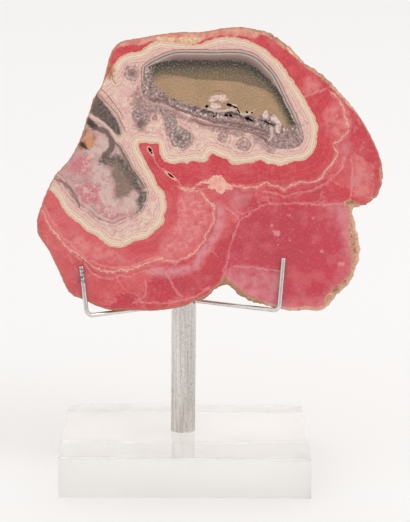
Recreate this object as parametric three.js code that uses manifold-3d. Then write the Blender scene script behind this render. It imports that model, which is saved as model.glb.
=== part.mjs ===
// A polished rhodochrosite slice standing in a bent-wire cradle on a post and a clear acrylic block.
// Millimetres. +X to the viewer's right, +Y to the back, +Z up. Origin: centre of the block's underside.
import * as THREE from "three";
import { mergeVertices } from "three/addons/utils/BufferGeometryUtils.js";
import Module from "manifold-3d";

const wasm = await Module();
wasm.setup();

// ---- driving dimensions ----
const GAP = 0.3; // clearance left between pieces that touch on the real object

const BLOCK_WIDTH = 100;
const BLOCK_DEPTH = 75;
const BLOCK_HEIGHT = 16.5;
const BLOCK_CHAMFER = 0.4;
const SEAT_DEPTH = 1; // shallow round recess that locates the post

const POST_DIAMETER = 10;
const POST_X = -1;
const POST_Y = 1.5;
const POST_LENGTH = 100;
const POST_CHAMFER = 0.5;
const POST_SIDES = 64;

const WIRE_DIAMETER = 1.8;
const WIRE_SIDES = 20;
const WIRE_BEND_RADIUS = 2.6;
const WIRE_BEND_STEPS = 10;
const WIRE_TIP_STEPS = 4;
const SOCKET_INNER_RADIUS = 2; // how near the post's axis the drilled sockets reach

const SLICE_THICKNESS = 6;
const SLICE_LEAN = THREE.MathUtils.degToRad(10);
const SLICE_FOOT = new THREE.Vector3(0, -18, 70); // the polished face's own origin
const SLICE_RIM_SAMPLES = 240;

// Where each wire crosses the post's axis, turns up, and ends.
const LEFT_WIRE = { atPost: 69.8, corner: [-39.3, -19.3, 69.4], tip: [-41.8, -15.9, 88.8] };
const RIGHT_WIRE = { atPost: 71.5, corner: [36.8, -19, 72], tip: [38.4, -15.3, 92.7] };

// The slice's outline on its own face, across and up, clockwise from the crest.
const SLICE_OUTLINE = [
  [22, 113.9], [31.4, 112.2], [38.9, 107.3], [45.3, 100.9], [53, 95.7], [59.6, 89],
  [66, 81.9], [71.2, 74.1], [75.3, 65.8], [77.9, 56.8], [75.9, 48.2], [72.4, 44.6],
  [68, 43.3], [65.8, 42.6], [66.3, 40], [68.3, 31.6], [69.1, 26], [67.3, 17.8],
  [64.8, 12.9], [59.4, 7.2], [56.7, 3.6], [52.5, 1.8], [47.6, 2.2], [42.8, 1.7],
  [33, 3.2], [27, 4.8], [21, 7.5], [17.5, 10.8], [15.5, 11.9], [12.5, 10.5],
  [7.5, 6.3], [3, 4.5], [-5, 2.3], [-13, 1.3], [-25, 1.5], [-30, 1.4],
  [-35, 2.8], [-41, 5.5], [-46.1, 7.9], [-50.4, 16.1], [-54.5, 24.4], [-59, 31.6],
  [-59.5, 36.4], [-56.7, 45.7], [-52.8, 54.1], [-46.9, 61], [-42.6, 69], [-39.8, 77.8],
  [-36.7, 86.5], [-34.3, 90.2], [-32.9, 94.5], [-30.6, 103.3], [-27.5, 107.2], [-18.7, 109.4],
  [-4.9, 111.6], [4.7, 111.8], [14.1, 113.4],
];

// The rim's profile through the thickness: depth behind the polished face, and offset from the outline.
const RIM_PROFILE = [
  [0, -0.9], [0.5, -0.35], [1.6, 0], [3.4, 0.1], [5.1, -0.3], [SLICE_THICKNESS, -1],
];
const RIM_ROUGHNESS = 0.22;

// ---- materials ----
const material = {
  stone: new THREE.MeshStandardMaterial({ color: 0xcf5258, roughness: 0.18, metalness: 0 }),
  acrylic: new THREE.MeshStandardMaterial({
    color: 0xf2ece8, roughness: 0.08, metalness: 0, transparent: true, opacity: 0.35,
  }),
  aluminium: new THREE.MeshStandardMaterial({ color: 0xb9b7b4, roughness: 0.35, metalness: 1 }),
  steel: new THREE.MeshStandardMaterial({ color: 0xa8a5a1, roughness: 0.3, metalness: 1 }),
};

// ---- helpers ----
function toSolid(geometry) {
  const bare = geometry.clone();
  for (const name of ["normal", "uv"]) bare.deleteAttribute(name);
  const merged = mergeVertices(bare, 1e-4);
  return new wasm.Manifold(
    new wasm.Mesh({
      numProp: 3,
      vertProperties: merged.attributes.position.array,
      triVerts: new Uint32Array(merged.index.array),
    }),
  );
}

function toGeometry(solid) {
  const { vertProperties, triVerts } = solid.getMesh();
  const geometry = new THREE.BufferGeometry();
  geometry.setAttribute("position", new THREE.BufferAttribute(vertProperties, 3));
  geometry.setIndex(new THREE.BufferAttribute(triVerts, 1));
  geometry.computeVertexNormals();
  return geometry;
}

function named(name, geometry, finish) {
  const mesh = new THREE.Mesh(geometry, finish);
  mesh.name = name;
  return mesh;
}

// Joins rings of equal length into one closed skin, with a cap on the first ring and one on the last.
// Both caps use the same triangles, given as indices into a ring and wound the same way as the ring.
function closedSkin(rings, capFaces) {
  const count = rings[0].length;
  const positions = rings.flat().flatMap((p) => p.toArray());
  const faces = [];
  for (let r = 0; r + 1 < rings.length; r++) {
    for (let i = 0; i < count; i++) {
      const a = r * count + i;
      const b = r * count + ((i + 1) % count);
      faces.push(a, b, b + count, a, b + count, a + count);
    }
  }
  const last = (rings.length - 1) * count;
  for (const [a, b, c] of capFaces) faces.push(a, c, b, last + a, last + b, last + c);
  const geometry = new THREE.BufferGeometry();
  geometry.setAttribute("position", new THREE.Float32BufferAttribute(positions, 3));
  geometry.setIndex(faces);
  geometry.computeVertexNormals();
  return geometry;
}

// ---- the block ----
function acrylicBase() {
  const x = BLOCK_WIDTH / 2;
  const y = BLOCK_DEPTH / 2;
  const c = BLOCK_CHAMFER;
  const plan = new THREE.Shape(
    [
      [x - 2 * c, -y + c], [x - c, -y + 2 * c], [x - c, y - 2 * c], [x - 2 * c, y - c],
      [-x + 2 * c, y - c], [-x + c, y - 2 * c], [-x + c, -y + 2 * c], [-x + 2 * c, -y + c],
    ].map(([px, py]) => new THREE.Vector2(px, py)),
  );
  const slab = new THREE.ExtrudeGeometry(plan, {
    depth: BLOCK_HEIGHT - 2 * c,
    bevelEnabled: true,
    bevelSegments: 1,
    bevelSize: c,
    bevelThickness: c,
  });
  slab.translate(0, 0, c);
  const radius = POST_DIAMETER / 2 + GAP;
  const seat = new THREE.CylinderGeometry(radius, radius, 2 * SEAT_DEPTH, POST_SIDES);
  seat.rotateX(Math.PI / 2);
  seat.translate(POST_X, POST_Y, BLOCK_HEIGHT);
  return named("acrylic_base", toGeometry(toSolid(slab).subtract(toSolid(seat))), material.acrylic);
}

// ---- the post ----
const POST_FOOT = BLOCK_HEIGHT - SEAT_DEPTH + GAP;
const POST_TOP = POST_FOOT + POST_LENGTH;

function post() {
  const r = POST_DIAMETER / 2;
  const c = POST_CHAMFER;
  const profile = [
    [0, POST_FOOT], [r - c, POST_FOOT], [r, POST_FOOT + c], [r, POST_TOP - c], [r - c, POST_TOP], [0, POST_TOP],
  ].map(([px, pz]) => new THREE.Vector2(px, pz));
  const rod = new THREE.LatheGeometry(profile, POST_SIDES);
  rod.rotateX(Math.PI / 2);
  rod.translate(POST_X, POST_Y, 0);
  const drilled = [LEFT_WIRE, RIGHT_WIRE].reduce(
    (solid, wire) => solid.subtract(toSolid(wireSocket(wire))),
    toSolid(rod),
  );
  return named("post", toGeometry(drilled), material.aluminium);
}

// ---- the wires ----
function wireStart(wire, radiusFromAxis) {
  const axis = new THREE.Vector3(POST_X, POST_Y, wire.atPost);
  const corner = new THREE.Vector3(...wire.corner);
  const run = corner.sub(axis);
  return axis.addScaledVector(run, radiusFromAxis / Math.hypot(run.x, run.y));
}

function wireSocket(wire) {
  const inner = wireStart(wire, SOCKET_INNER_RADIUS);
  const outer = wireStart(wire, POST_DIAMETER);
  const length = inner.distanceTo(outer);
  const hole = new THREE.CylinderGeometry(
    WIRE_DIAMETER / 2 + GAP, WIRE_DIAMETER / 2 + GAP, length, WIRE_SIDES,
  );
  const up = new THREE.Vector3(0, 1, 0);
  const along = outer.clone().sub(inner).normalize();
  hole.applyQuaternion(new THREE.Quaternion().setFromUnitVectors(up, along));
  hole.translate(...inner.add(outer).multiplyScalar(0.5).toArray());
  return hole;
}

// The wire's centre line with the radius it has at each point: straight, bend, straight, rounded tip.
function wireStations(wire) {
  const start = wireStart(wire, SOCKET_INNER_RADIUS + GAP);
  const corner = new THREE.Vector3(...wire.corner);
  const tip = new THREE.Vector3(...wire.tip);
  const inward = corner.clone().sub(start).normalize();
  const upward = tip.clone().sub(corner).normalize();
  const turn = inward.angleTo(upward);
  const setback = WIRE_BEND_RADIUS * Math.tan(turn / 2);
  const bendStart = corner.clone().addScaledVector(inward, -setback);
  const towardCentre = upward.clone().addScaledVector(inward, -upward.dot(inward)).normalize();
  const centre = bendStart.clone().addScaledVector(towardCentre, WIRE_BEND_RADIUS);
  const radius = WIRE_DIAMETER / 2;
  const stations = [{ at: start, along: inward, radius }];
  for (let i = 0; i <= WIRE_BEND_STEPS; i++) {
    const angle = (turn * i) / WIRE_BEND_STEPS;
    const at = centre
      .clone()
      .addScaledVector(towardCentre, -WIRE_BEND_RADIUS * Math.cos(angle))
      .addScaledVector(inward, WIRE_BEND_RADIUS * Math.sin(angle));
    const along = inward.clone().multiplyScalar(Math.cos(angle));
    along.addScaledVector(towardCentre, Math.sin(angle));
    stations.push({ at, along, radius });
  }
  for (let i = 0; i < WIRE_TIP_STEPS; i++) {
    const angle = (Math.PI / 2) * (i / WIRE_TIP_STEPS);
    const at = tip.clone().addScaledVector(upward, -radius * (1 - Math.sin(angle)));
    stations.push({ at, along: upward, radius: radius * Math.cos(angle) });
  }
  return { stations, side: new THREE.Vector3().crossVectors(inward, upward).normalize() };
}

function wireArm(name, wire) {
  const { stations, side } = wireStations(wire);
  const rings = stations.map(({ at, along, radius }) => {
    const across = new THREE.Vector3().crossVectors(along, side);
    return Array.from({ length: WIRE_SIDES }, (_, i) => {
      const angle = (2 * Math.PI * i) / WIRE_SIDES;
      return at
        .clone()
        .addScaledVector(side, radius * Math.cos(angle))
        .addScaledVector(across, radius * Math.sin(angle));
    });
  });
  const fan = Array.from({ length: WIRE_SIDES - 2 }, (_, i) => [0, i + 1, i + 2]);
  return named(name, closedSkin(rings, fan), material.steel);
}

// ---- the slice ----
// The natural rind: small bumps that run round the rim and change through its thickness.
function rindBump(turn, depth) {
  const waves = [[23, 0.7], [41, -1.3], [67, 2.1], [97, -0.4]];
  const sum = waves.reduce((s, [cycles, drift]) => s + Math.sin(2 * Math.PI * cycles * turn + drift * depth), 0);
  return (RIM_ROUGHNESS * sum) / waves.length;
}

function rhodochrositeSlice() {
  const outline = new THREE.CatmullRomCurve3(
    SLICE_OUTLINE.map(([u, v]) => new THREE.Vector3(u, 0, v)), true, "centripetal",
  );
  outline.arcLengthDivisions = 2000;
  const rim = outline.getSpacedPoints(SLICE_RIM_SAMPLES).slice(0, SLICE_RIM_SAMPLES);
  const rings = RIM_PROFILE.map(([depth, offset]) =>
    rim.map((p, i) => {
      const turn = i / SLICE_RIM_SAMPLES;
      const t = outline.getTangentAt(turn);
      const out = new THREE.Vector3(-t.z, 0, t.x);
      const bump = depth > 0 && depth < SLICE_THICKNESS ? rindBump(turn, depth) : 0;
      return p.clone().addScaledVector(out, offset + bump).setY(depth);
    }),
  );
  const flat = rings[0].map((p) => new THREE.Vector2(p.x, p.z));
  const capFaces = THREE.ShapeUtils.triangulateShape(flat, []).map(([a, b, c]) => [a, c, b]);
  const solid = named("rhodochrosite_slice", closedSkin(rings, capFaces), material.stone);
  const stand = new THREE.Group();
  stand.position.copy(SLICE_FOOT);
  stand.rotation.x = -SLICE_LEAN;
  stand.add(solid);
  return stand;
}

const object = new THREE.Group();
object.add(
  acrylicBase(),
  post(),
  wireArm("left_wire_arm", LEFT_WIRE),
  wireArm("right_wire_arm", RIGHT_WIRE),
  rhodochrositeSlice(),
);

export default object;
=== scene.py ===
# %% [markdown]
# # A polished rhodochrosite slice on its display stand
# The stone is one slab, sawn across a mass of banded stalactites and polished on the front. It stands
# in two bent wires, which plug into a round aluminium post, and the post is glued into an acrylic block.
# The sizes and the places of all five pieces come from the CAD model, which is loaded first. This
# script makes the fine surfaces: each piece is modelled again with more detail and stands for its CAD node.

# %% Load the frame and the tools
import math

import bpy
import numpy as np
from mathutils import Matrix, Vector, noise
from mathutils.geometry import delaunay_2d_cdt


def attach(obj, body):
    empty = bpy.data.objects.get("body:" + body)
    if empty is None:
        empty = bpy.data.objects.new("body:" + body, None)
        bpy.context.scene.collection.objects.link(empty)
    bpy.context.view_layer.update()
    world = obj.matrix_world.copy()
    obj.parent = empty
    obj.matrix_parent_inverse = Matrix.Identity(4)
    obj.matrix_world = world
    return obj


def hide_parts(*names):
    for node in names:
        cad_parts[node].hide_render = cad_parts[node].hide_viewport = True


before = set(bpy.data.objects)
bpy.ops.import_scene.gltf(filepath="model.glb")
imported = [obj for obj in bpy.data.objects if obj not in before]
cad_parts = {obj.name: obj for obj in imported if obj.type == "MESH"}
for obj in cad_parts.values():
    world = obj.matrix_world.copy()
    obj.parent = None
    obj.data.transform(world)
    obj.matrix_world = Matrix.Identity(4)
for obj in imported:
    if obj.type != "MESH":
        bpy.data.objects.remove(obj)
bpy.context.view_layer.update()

MM = 0.001


# %% [markdown]
# ## Camera, floor and light
# The camera comes first, so that every later render is seen from the right place. A long lens
# keeps the block's sides nearly parallel. The floor is one large pale plane that fills the view, and the
# light is a bright room with one big soft lamp at the upper right, so shadows stay faint. The room is
# a little darker behind the camera: polished metal only looks like metal when it has something
# darker to reflect.

# %% Camera
SENSOR_MM = 36.0
FOCAL_MM = 134.57
CAMERA_MM = Vector((1.311, -770.4, 256.9))
PITCH_DOWN = math.radians(12.378)
YAW_RIGHT = math.radians(0.4526)
ROLL = math.radians(0.573)


def camera_axes(yaw, pitch, roll):
    """The camera's right and up directions for a view along +Y that turns right, tips down and rolls."""
    ahead = Vector((math.sin(yaw) * math.cos(pitch), math.cos(yaw) * math.cos(pitch), -math.sin(pitch)))
    level = Vector((math.cos(yaw), -math.sin(yaw), 0.0))
    above = level.cross(ahead)
    right = math.cos(roll) * level + math.sin(roll) * above
    return right, right.cross(ahead)


right, up = camera_axes(YAW_RIGHT, PITCH_DOWN, ROLL)
camera = bpy.data.objects.new("camera", bpy.data.cameras.new("camera"))
bpy.context.scene.collection.objects.link(camera)
camera.data.sensor_width = SENSOR_MM
camera.data.lens = FOCAL_MM
camera.data.clip_end = 50.0
turned = camera.matrix_world.copy()
for row in range(3):
    turned[row][0], turned[row][1], turned[row][2] = right[row], up[row], right.cross(up)[row]
    turned[row][3] = CAMERA_MM[row] * MM
camera.matrix_world = turned
bpy.context.scene.camera = camera
bpy.context.scene.view_settings.view_transform = "Standard"
print("camera at, mm:", tuple(CAMERA_MM))


# %% Colours and node helpers
def tone(red, green, blue):
    """A display colour, 0 to 255, as the linear colour that the shader wants."""
    parts = [c / 255 for c in (red, green, blue)]
    linear = [c / 12.92 if c <= 0.04045 else ((c + 0.055) / 1.055) ** 2.4 for c in parts]
    return (*linear, 1.0)


def place(tree, kind, inputs=None, **settings):
    """Adds a node. Each input is a plain value or the socket that feeds it."""
    node = tree.nodes.new(kind)
    for key, value in settings.items():
        setattr(node, key, value)
    for key, value in (inputs or {}).items():
        socket = node.inputs[key]
        if isinstance(value, bpy.types.NodeSocket):
            tree.links.new(value, socket)
        else:
            socket.default_value = value
    return node


def calc(tree, operation, *values, clamp=False):
    """A Math node's result."""
    node = place(tree, "ShaderNodeMath", dict(enumerate(values)), operation=operation, use_clamp=clamp)
    return node.outputs[0]


def blend(tree, factor, under, over, mode="MIX"):
    """Lays one colour over another."""
    inputs = {0: factor, 6: under, 7: over}
    return place(tree, "ShaderNodeMix", inputs, data_type="RGBA", blend_type=mode).outputs[2]


def fade(tree, value, low, high, to_low=0.0, to_high=1.0, curve="SMOOTHSTEP"):
    """Maps low..high to to_low..to_high, clamped at both ends."""
    inputs = {"Value": value, "From Min": low, "From Max": high, "To Min": to_low, "To Max": to_high}
    return place(tree, "ShaderNodeMapRange", inputs, interpolation_type=curve).outputs[0]


def ramp(tree, value, stops):
    """A colour that changes along value: stops are (value, colour), in rising order."""
    low, high = stops[0][0], stops[-1][0]
    node = place(tree, "ShaderNodeValToRGB", {0: fade(tree, value, low, high, curve="LINEAR")})
    elements = node.color_ramp.elements
    for _ in stops[2:]:
        elements.new(0.5)
    for element, (at, colour) in zip(elements, stops):
        element.position = (at - low) / (high - low)
        element.color = colour
    return node.outputs[0]


def new_material(name, **values):
    """A material with one Principled shader, whose constant values are set on its own sockets."""
    material = bpy.data.materials.new(name)
    material.use_nodes = True
    shader = material.node_tree.nodes["Principled BSDF"]
    for key, value in values.items():
        shader.inputs[key.replace("_", " ")].default_value = value
    return material, material.node_tree, shader


print("helpers ready")


# %% Floor
FLOOR_HALF_M = 9.0
floor_mesh = bpy.data.meshes.new("floor")
corners = [(-FLOOR_HALF_M, -FLOOR_HALF_M, 0), (FLOOR_HALF_M, -FLOOR_HALF_M, 0)]
corners += [(FLOOR_HALF_M, FLOOR_HALF_M, 0), (-FLOOR_HALF_M, FLOOR_HALF_M, 0)]
floor_mesh.from_pydata(corners, [], [(0, 1, 2, 3)])
floor = bpy.data.objects.new("floor", floor_mesh)
bpy.context.scene.collection.objects.link(floor)
paper, _, _ = new_material("studio_paper", Base_Color=(0.86, 0.845, 0.835, 1), Roughness=0.9)
floor_mesh.materials.append(paper)
print("floor,", 2 * FLOOR_HALF_M, "m wide")


# %% Room light and the one soft lamp
ROOM_BRIGHT = (1.03, 1.03, 1.025, 1)
ROOM_DIM = (0.62, 0.61, 0.60, 1)
world = bpy.data.worlds.new("room")
bpy.context.scene.world = world
world.use_nodes = True
room = world.node_tree
towards = place(room, "ShaderNodeSeparateXYZ", {0: place(room, "ShaderNodeTexCoord").outputs["Generated"]})
behind_camera = fade(room, towards.outputs["Y"], -0.9, -0.45, 1.0, 0.0)
low_down = fade(room, towards.outputs["Z"], 0.25, 0.6, 1.0, 0.0)
dimmed = calc(room, "MULTIPLY", behind_camera, low_down)
room_colour = blend(room, dimmed, ROOM_BRIGHT, ROOM_DIM)
room.links.new(room_colour, room.nodes["Background"].inputs["Color"])
room.nodes["Background"].inputs["Strength"].default_value = 1.0


def soft_lamp(name, at, size, watts, colour=(1, 1, 1)):
    """A square area lamp, in metres, that faces the middle of the object."""
    lamp = bpy.data.lights.new(name, "AREA")
    lamp.energy, lamp.size, lamp.color = watts, size, colour
    lamp_object = bpy.data.objects.new(name, lamp)
    lamp_object.location = at
    aim = Vector((0, 0, 0.09)) - Vector(at)
    lamp_object.rotation_euler = aim.to_track_quat("-Z", "Y").to_euler()
    bpy.context.scene.collection.objects.link(lamp_object)
    return lamp_object


soft_lamp("key", (1.9, -1.3, 2.3), 1.8, 18.0)
print("one lamp, and a room of", ROOM_BRIGHT[:3])


# %% [markdown]
# ## Two effects that several finishes share
# Stone, metal and acrylic all have a soft uneven tone and fine handling scratches. Each of these is a
# node group, built once. A group gives out only values, and each material decides what they change.

# %% Node group: soft mottle
def new_group(name, inputs, outputs):
    """A shader node group with named float or vector sockets, and its own in and out nodes."""
    group = bpy.data.node_groups.new(name, "ShaderNodeTree")
    kinds = {"f": "NodeSocketFloat", "v": "NodeSocketVector"}
    for label, kind in inputs:
        group.interface.new_socket(label, in_out="INPUT", socket_type=kinds[kind])
    for label, kind in outputs:
        group.interface.new_socket(label, in_out="OUTPUT", socket_type=kinds[kind])
    return group, place(group, "NodeGroupInput"), place(group, "NodeGroupOutput")


def noise_value(tree, vector, scale, detail=3.0, roughness=0.55, distortion=0.0):
    """Smooth noise from 0 to 1."""
    inputs = {"Vector": vector, "Scale": scale, "Detail": detail}
    inputs |= {"Roughness": roughness, "Distortion": distortion}
    return place(tree, "ShaderNodeTexNoise", inputs).outputs[0]


mottle_group, g_in, g_out = new_group(
    "soft_mottle", [("Vector", "v"), ("Scale", "f"), ("Contrast", "f")], [("Value", "f")]
)
broad = noise_value(mottle_group, g_in.outputs["Vector"], g_in.outputs["Scale"], 4.0)
around_half = calc(mottle_group, "SUBTRACT", broad, 0.5)
stretched = calc(mottle_group, "MULTIPLY_ADD", around_half, g_in.outputs["Contrast"], 0.5, clamp=True)
mottle_group.links.new(stretched, g_out.inputs["Value"])


def mottle(tree, vector, scale, contrast):
    """Uneven tone, 0 to 1 about 0.5."""
    node = place(tree, "ShaderNodeGroup", node_tree=mottle_group)
    tree.links.new(vector, node.inputs["Vector"])
    node.inputs["Scale"].default_value = scale
    node.inputs["Contrast"].default_value = contrast
    return node.outputs["Value"]


print("group:", mottle_group.name)


# %% Node group: fine scratches
scratch_group, g_in, g_out = new_group(
    "fine_scratches", [("Vector", "v"), ("Stretch", "v"), ("Amount", "f")], [("Value", "f")]
)
drawn_out = place(
    scratch_group, "ShaderNodeVectorMath",
    {0: g_in.outputs["Vector"], 1: g_in.outputs["Stretch"]}, operation="MULTIPLY",
).outputs[0]
hairs = noise_value(scratch_group, drawn_out, 1.0, 2.0, 0.7)
marks = fade(scratch_group, hairs, 0.52, 0.75)
scratch_group.links.new(
    calc(scratch_group, "MULTIPLY", marks, g_in.outputs["Amount"]), g_out.inputs["Value"]
)


def scratches(tree, vector, stretch, amount):
    """Thin marks, 0 where there is none. The stretch is the noise's frequency along each axis."""
    node = place(tree, "ShaderNodeGroup", node_tree=scratch_group)
    tree.links.new(vector, node.inputs["Vector"])
    node.inputs["Stretch"].default_value = stretch
    node.inputs["Amount"].default_value = amount
    return node.outputs["Value"]


print("group:", scratch_group.name)


# %% [markdown]
# ## The slice's own plane
# Everything on the stone is easiest to say in its own flat plane: u runs to the right, v runs up the face,
# and depth runs back into the slab, all in millimetres. The stone leans back ten degrees, so a small
# function turns (u, v, depth) into a place in the scene, and its inverse reads the CAD model's outline.

# %% Plane of the polished face
LEAN = math.radians(10)
FACE_ORIGIN_MM = np.array([0.0, -18.0, 70.0])
U_AXIS = np.array([1.0, 0.0, 0.0])
V_AXIS = np.array([0.0, math.sin(LEAN), math.cos(LEAN)])
DEPTH_AXIS = np.array([0.0, math.cos(LEAN), -math.sin(LEAN)])


def to_scene(uvd):
    """Points (u, v, depth) in mm as scene points in metres."""
    uvd = np.asarray(uvd, float)
    spread = uvd[:, :1] * U_AXIS + uvd[:, 1:2] * V_AXIS + uvd[:, 2:3] * DEPTH_AXIS
    return (FACE_ORIGIN_MM + spread) * MM


def to_plane(points_m):
    """Scene points in metres as (u, v, depth) in mm."""
    away = np.asarray(points_m, float) / MM - FACE_ORIGIN_MM
    return np.stack([away @ U_AXIS, away @ V_AXIS, away @ DEPTH_AXIS], 1)


slice_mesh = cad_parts["rhodochrosite_slice"].data
slice_uvd = to_plane([v.co for v in slice_mesh.vertices])
SLAB_MM = float(slice_uvd[:, 2].max())
print("slab thickness, mm:", round(SLAB_MM, 2))


# %% Outline of the polished face, from the CAD model
def face_loop(mesh, uvd):
    """The closed loop round the faces that lie at depth 0, as points (u, v)."""
    keys = {}
    merged = [keys.setdefault(tuple(np.round(p, 2)), len(keys)) for p in uvd]
    flat = np.array(list(keys))[:, :2]
    after = {}
    for polygon in mesh.polygons:
        if max(abs(uvd[v][2]) for v in polygon.vertices) < 0.02:
            ring = [merged[v] for v in polygon.vertices]
            for a, b in zip(ring, ring[1:] + ring[:1]):
                after[(a, b)] = True
    border = {a: b for a, b in after if (b, a) not in after}
    walk = [next(iter(border))]
    while border[walk[-1]] != walk[0]:
        walk.append(border[walk[-1]])
    return flat[walk]


def resample(points, spacing, closed=True):
    """The same line with points at an even spacing."""
    if closed:
        points = np.vstack([points, points[:1]])
    run = np.concatenate([[0], np.cumsum(np.linalg.norm(np.diff(points, axis=0), axis=1))])
    count = max(2, round(run[-1] / spacing))
    at = np.linspace(0, run[-1], count, endpoint=not closed)
    return np.stack([np.interp(at, run, points[:, k]) for k in (0, 1)], 1)


def outward(loop):
    """Unit normals of a closed loop, away from its inside."""
    along = np.roll(loop, -1, 0) - np.roll(loop, 1, 0)
    normal = np.stack([along[:, 1], -along[:, 0]], 1)
    area = np.sum(loop[:, 0] * np.roll(loop[:, 1], -1) - loop[:, 1] * np.roll(loop[:, 0], -1))
    return np.sign(area) * normal / np.linalg.norm(normal, axis=1, keepdims=True)


CAD_INSET_MM = 0.9  # the CAD's flat face ends this far inside the widest outline
EDGE_SPACING_MM = 0.5
face_edge = resample(face_loop(slice_mesh, slice_uvd), EDGE_SPACING_MM)
outline = face_edge + CAD_INSET_MM * outward(face_edge)
print("outline points:", len(outline), " size, mm:", np.ptp(outline, axis=0).round(1))


# %% [markdown]
# ## Reading distance from a drawn line
# Growth bands follow each other like tree rings, so their colours depend on distance: how far a spot
# is from the edge of a cavity, or from one thin line. An image texture could hold the figure, but it
# would be tied to one size. Instead each boundary is a smooth curve through listed
# points, and every vertex of the stone stores its distance to the curves. The shader then turns distances
# into crisp bands at any zoom.

# %% Curves and distances
def smooth(points, closed, per_span=4):
    """A Catmull-Rom curve through the points, as a polyline."""
    p = np.asarray(points, float)
    n = len(p)
    t = (np.arange(per_span) / per_span)[:, None]
    spans = []
    for i in range(n if closed else n - 1):
        a, b, c, d = (
            (p[(i + k) % n] for k in (-1, 0, 1, 2)) if closed
            else (p[min(max(i + k, 0), n - 1)] for k in (-1, 0, 1, 2))
        )
        spans.append(0.5 * (2 * b + (c - a) * t + (2 * a - 5 * b + 4 * c - d) * t**2
                            + (3 * b - a - 3 * c + d) * t**3))
    return np.vstack(spans + ([] if closed else [p[-1:]]))


FAR_MM = 14.0  # distances beyond this are all the same to the shader


def measure(spots, line, closed):
    """For each spot: signed distance, plain distance and place along the line, in mm.
    The sign is positive inside a closed line, and to the left of an open one."""
    ends = np.roll(line, -1, 0) if closed else line[1:]
    starts = line if closed else line[:-1]
    near = np.full(len(spots), FAR_MM, np.float32)
    side = np.ones(len(spots), np.float32)
    along = np.zeros(len(spots), np.float32)
    inside = np.zeros(len(spots), bool)
    run = 0.0
    u, v = spots[:, 0], spots[:, 1]
    for a, b in zip(starts, ends):
        step = b - a
        length = float(np.hypot(*step))
        if length < 1e-6:
            continue
        if closed:
            crosses = (a[1] > v) != (b[1] > v)
            inside[crosses] ^= u[crosses] < step[0] * (v[crosses] - a[1]) / (step[1] or 1e-9) + a[0]
        reach = near.max() if len(near) else 0
        low, high = np.minimum(a, b) - reach, np.maximum(a, b) + reach
        pick = np.nonzero((u > low[0]) & (u < high[0]) & (v > low[1]) & (v < high[1]))[0]
        away = spots[pick] - a
        share = np.clip(away @ step / length**2, 0, 1)
        gap = np.linalg.norm(away - share[:, None] * step, axis=1)
        better = gap < near[pick]
        chosen = pick[better]
        near[chosen] = gap[better]
        side[chosen] = np.sign(step[0] * away[better, 1] - step[1] * away[better, 0])
        along[chosen] = run + share[better] * length
        run += length
    sign = np.where(inside, 1, -1) if closed else np.where(side == 0, 1, side)
    return np.stack([near * sign, near, along], 1)


def nearest_of(spots, lines, closed):
    """Like measure, for many lines: each spot keeps the closest, or the innermost of closed ones."""
    found = [measure(spots, smooth(line, closed), closed) for line in lines]
    if closed:
        score = np.stack([-f[:, 0] for f in found])
    else:
        score = np.stack([f[:, 1] for f in found])
    return np.stack(found)[score.argmin(0), np.arange(len(spots))]


print("distances are kept up to", FAR_MM, "mm")


# %% [markdown]
# ## The slab's shape
# The real slab has a dead flat polished face, a few small open holes where crystals never filled the
# cavities, and a rough natural rind round its rim. The rind shows from the front where the
# knobbly outside of the stone slopes away behind the polished edge. A triangulated sheet of points makes the
# face, with closer points round the holes. The rim is a stack of loops that run from front to back.

# %% Where the rind shows, and where the holes are
RIND_STRIPS = [
    [(61.8, 45), (64.2, 40), (64, 35), (64.3, 28), (65.4, 22), (64.3, 17), (61, 13), (57.5, 10.5),
     (54.8, 6.5), (56, 0), (72, 0), (74, 30), (71, 42), (66, 46)],
    [(13.2, 13.5), (16, 15), (19.5, 12), (23, 9.2), (27, 7.4), (32, 4.6), (34, 0), (16, 0)],
    [(2, 5.2), (7, 7.8), (11, 11), (13.5, 13), (16, 8), (8, 2), (2, 0)],
    [(24, 112.6), (30, 110.8), (34.5, 108), (38.5, 105), (40, 112), (30, 118), (22, 118)],
    [(46, 98.8), (51, 95.6), (54, 92.6), (60, 97), (50, 104)],
    [(72, 45.6), (75, 49), (76.4, 53), (76.4, 60), (82, 60), (80, 44), (74, 42)],
]
RIND_DROP_MM = 2.6  # how far behind the polished face the rind has fallen at the outline

# Each hole: centre (u, v), half length, half width, tilt in degrees, depth.
HOLES = [
    (-14.9, 65.1, 1.0, 0.55, -62, 2.4), (-14.2, 63.9, 0.7, 0.3, -60, 1.2), (-6.6, 55.0, 1.5, 0.38, -38, 1.8),
    (7.5, 82.5, 0.75, 0.5, 25, 2.2), (16.3, 83.1, 1.2, 0.6, -18, 2.8), (18.6, 82.3, 1.3, 0.34, -22, 2.2),
    (20.0, 80.8, 1.1, 0.34, -60, 2.0), (23.4, 80.3, 0.7, 0.35, -35, 1.6), (25.3, 80.1, 0.45, 0.3, 20, 1.2),
    (15.2, 79.0, 0.75, 0.5, 0, 1.8), (16.9, 78.9, 0.6, 0.5, 0, 1.8), (23.6, 77.8, 1.0, 0.55, -15, 2.2),
    (24.9, 77.2, 0.6, 0.45, -10, 1.6), (31.0, 76.5, 1.3, 0.3, -32, 1.6), (32.8, 75.8, 0.8, 0.25, -10, 1.4),
    (10.4, 78.6, 0.6, 0.35, 10, 1.2),
]


def hole_shape(spots, hole):
    """How far inside a hole each spot is: 1 at the middle, 0 at the rim, below 0 outside."""
    u, v, half_length, half_width, tilt, _ = hole
    turn = math.radians(tilt)
    du, dv = spots[:, 0] - u, spots[:, 1] - v
    along, across = du * math.cos(turn) + dv * math.sin(turn), dv * math.cos(turn) - du * math.sin(turn)
    ragged = 0.12 * np.sin(5 * along + 3 * v) + 0.1 * np.sin(9 * across + u)
    return 1 + ragged - np.hypot(along / half_length, across / half_width)


print(len(RIND_STRIPS), "rind strips,", len(HOLES), "holes")


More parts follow.
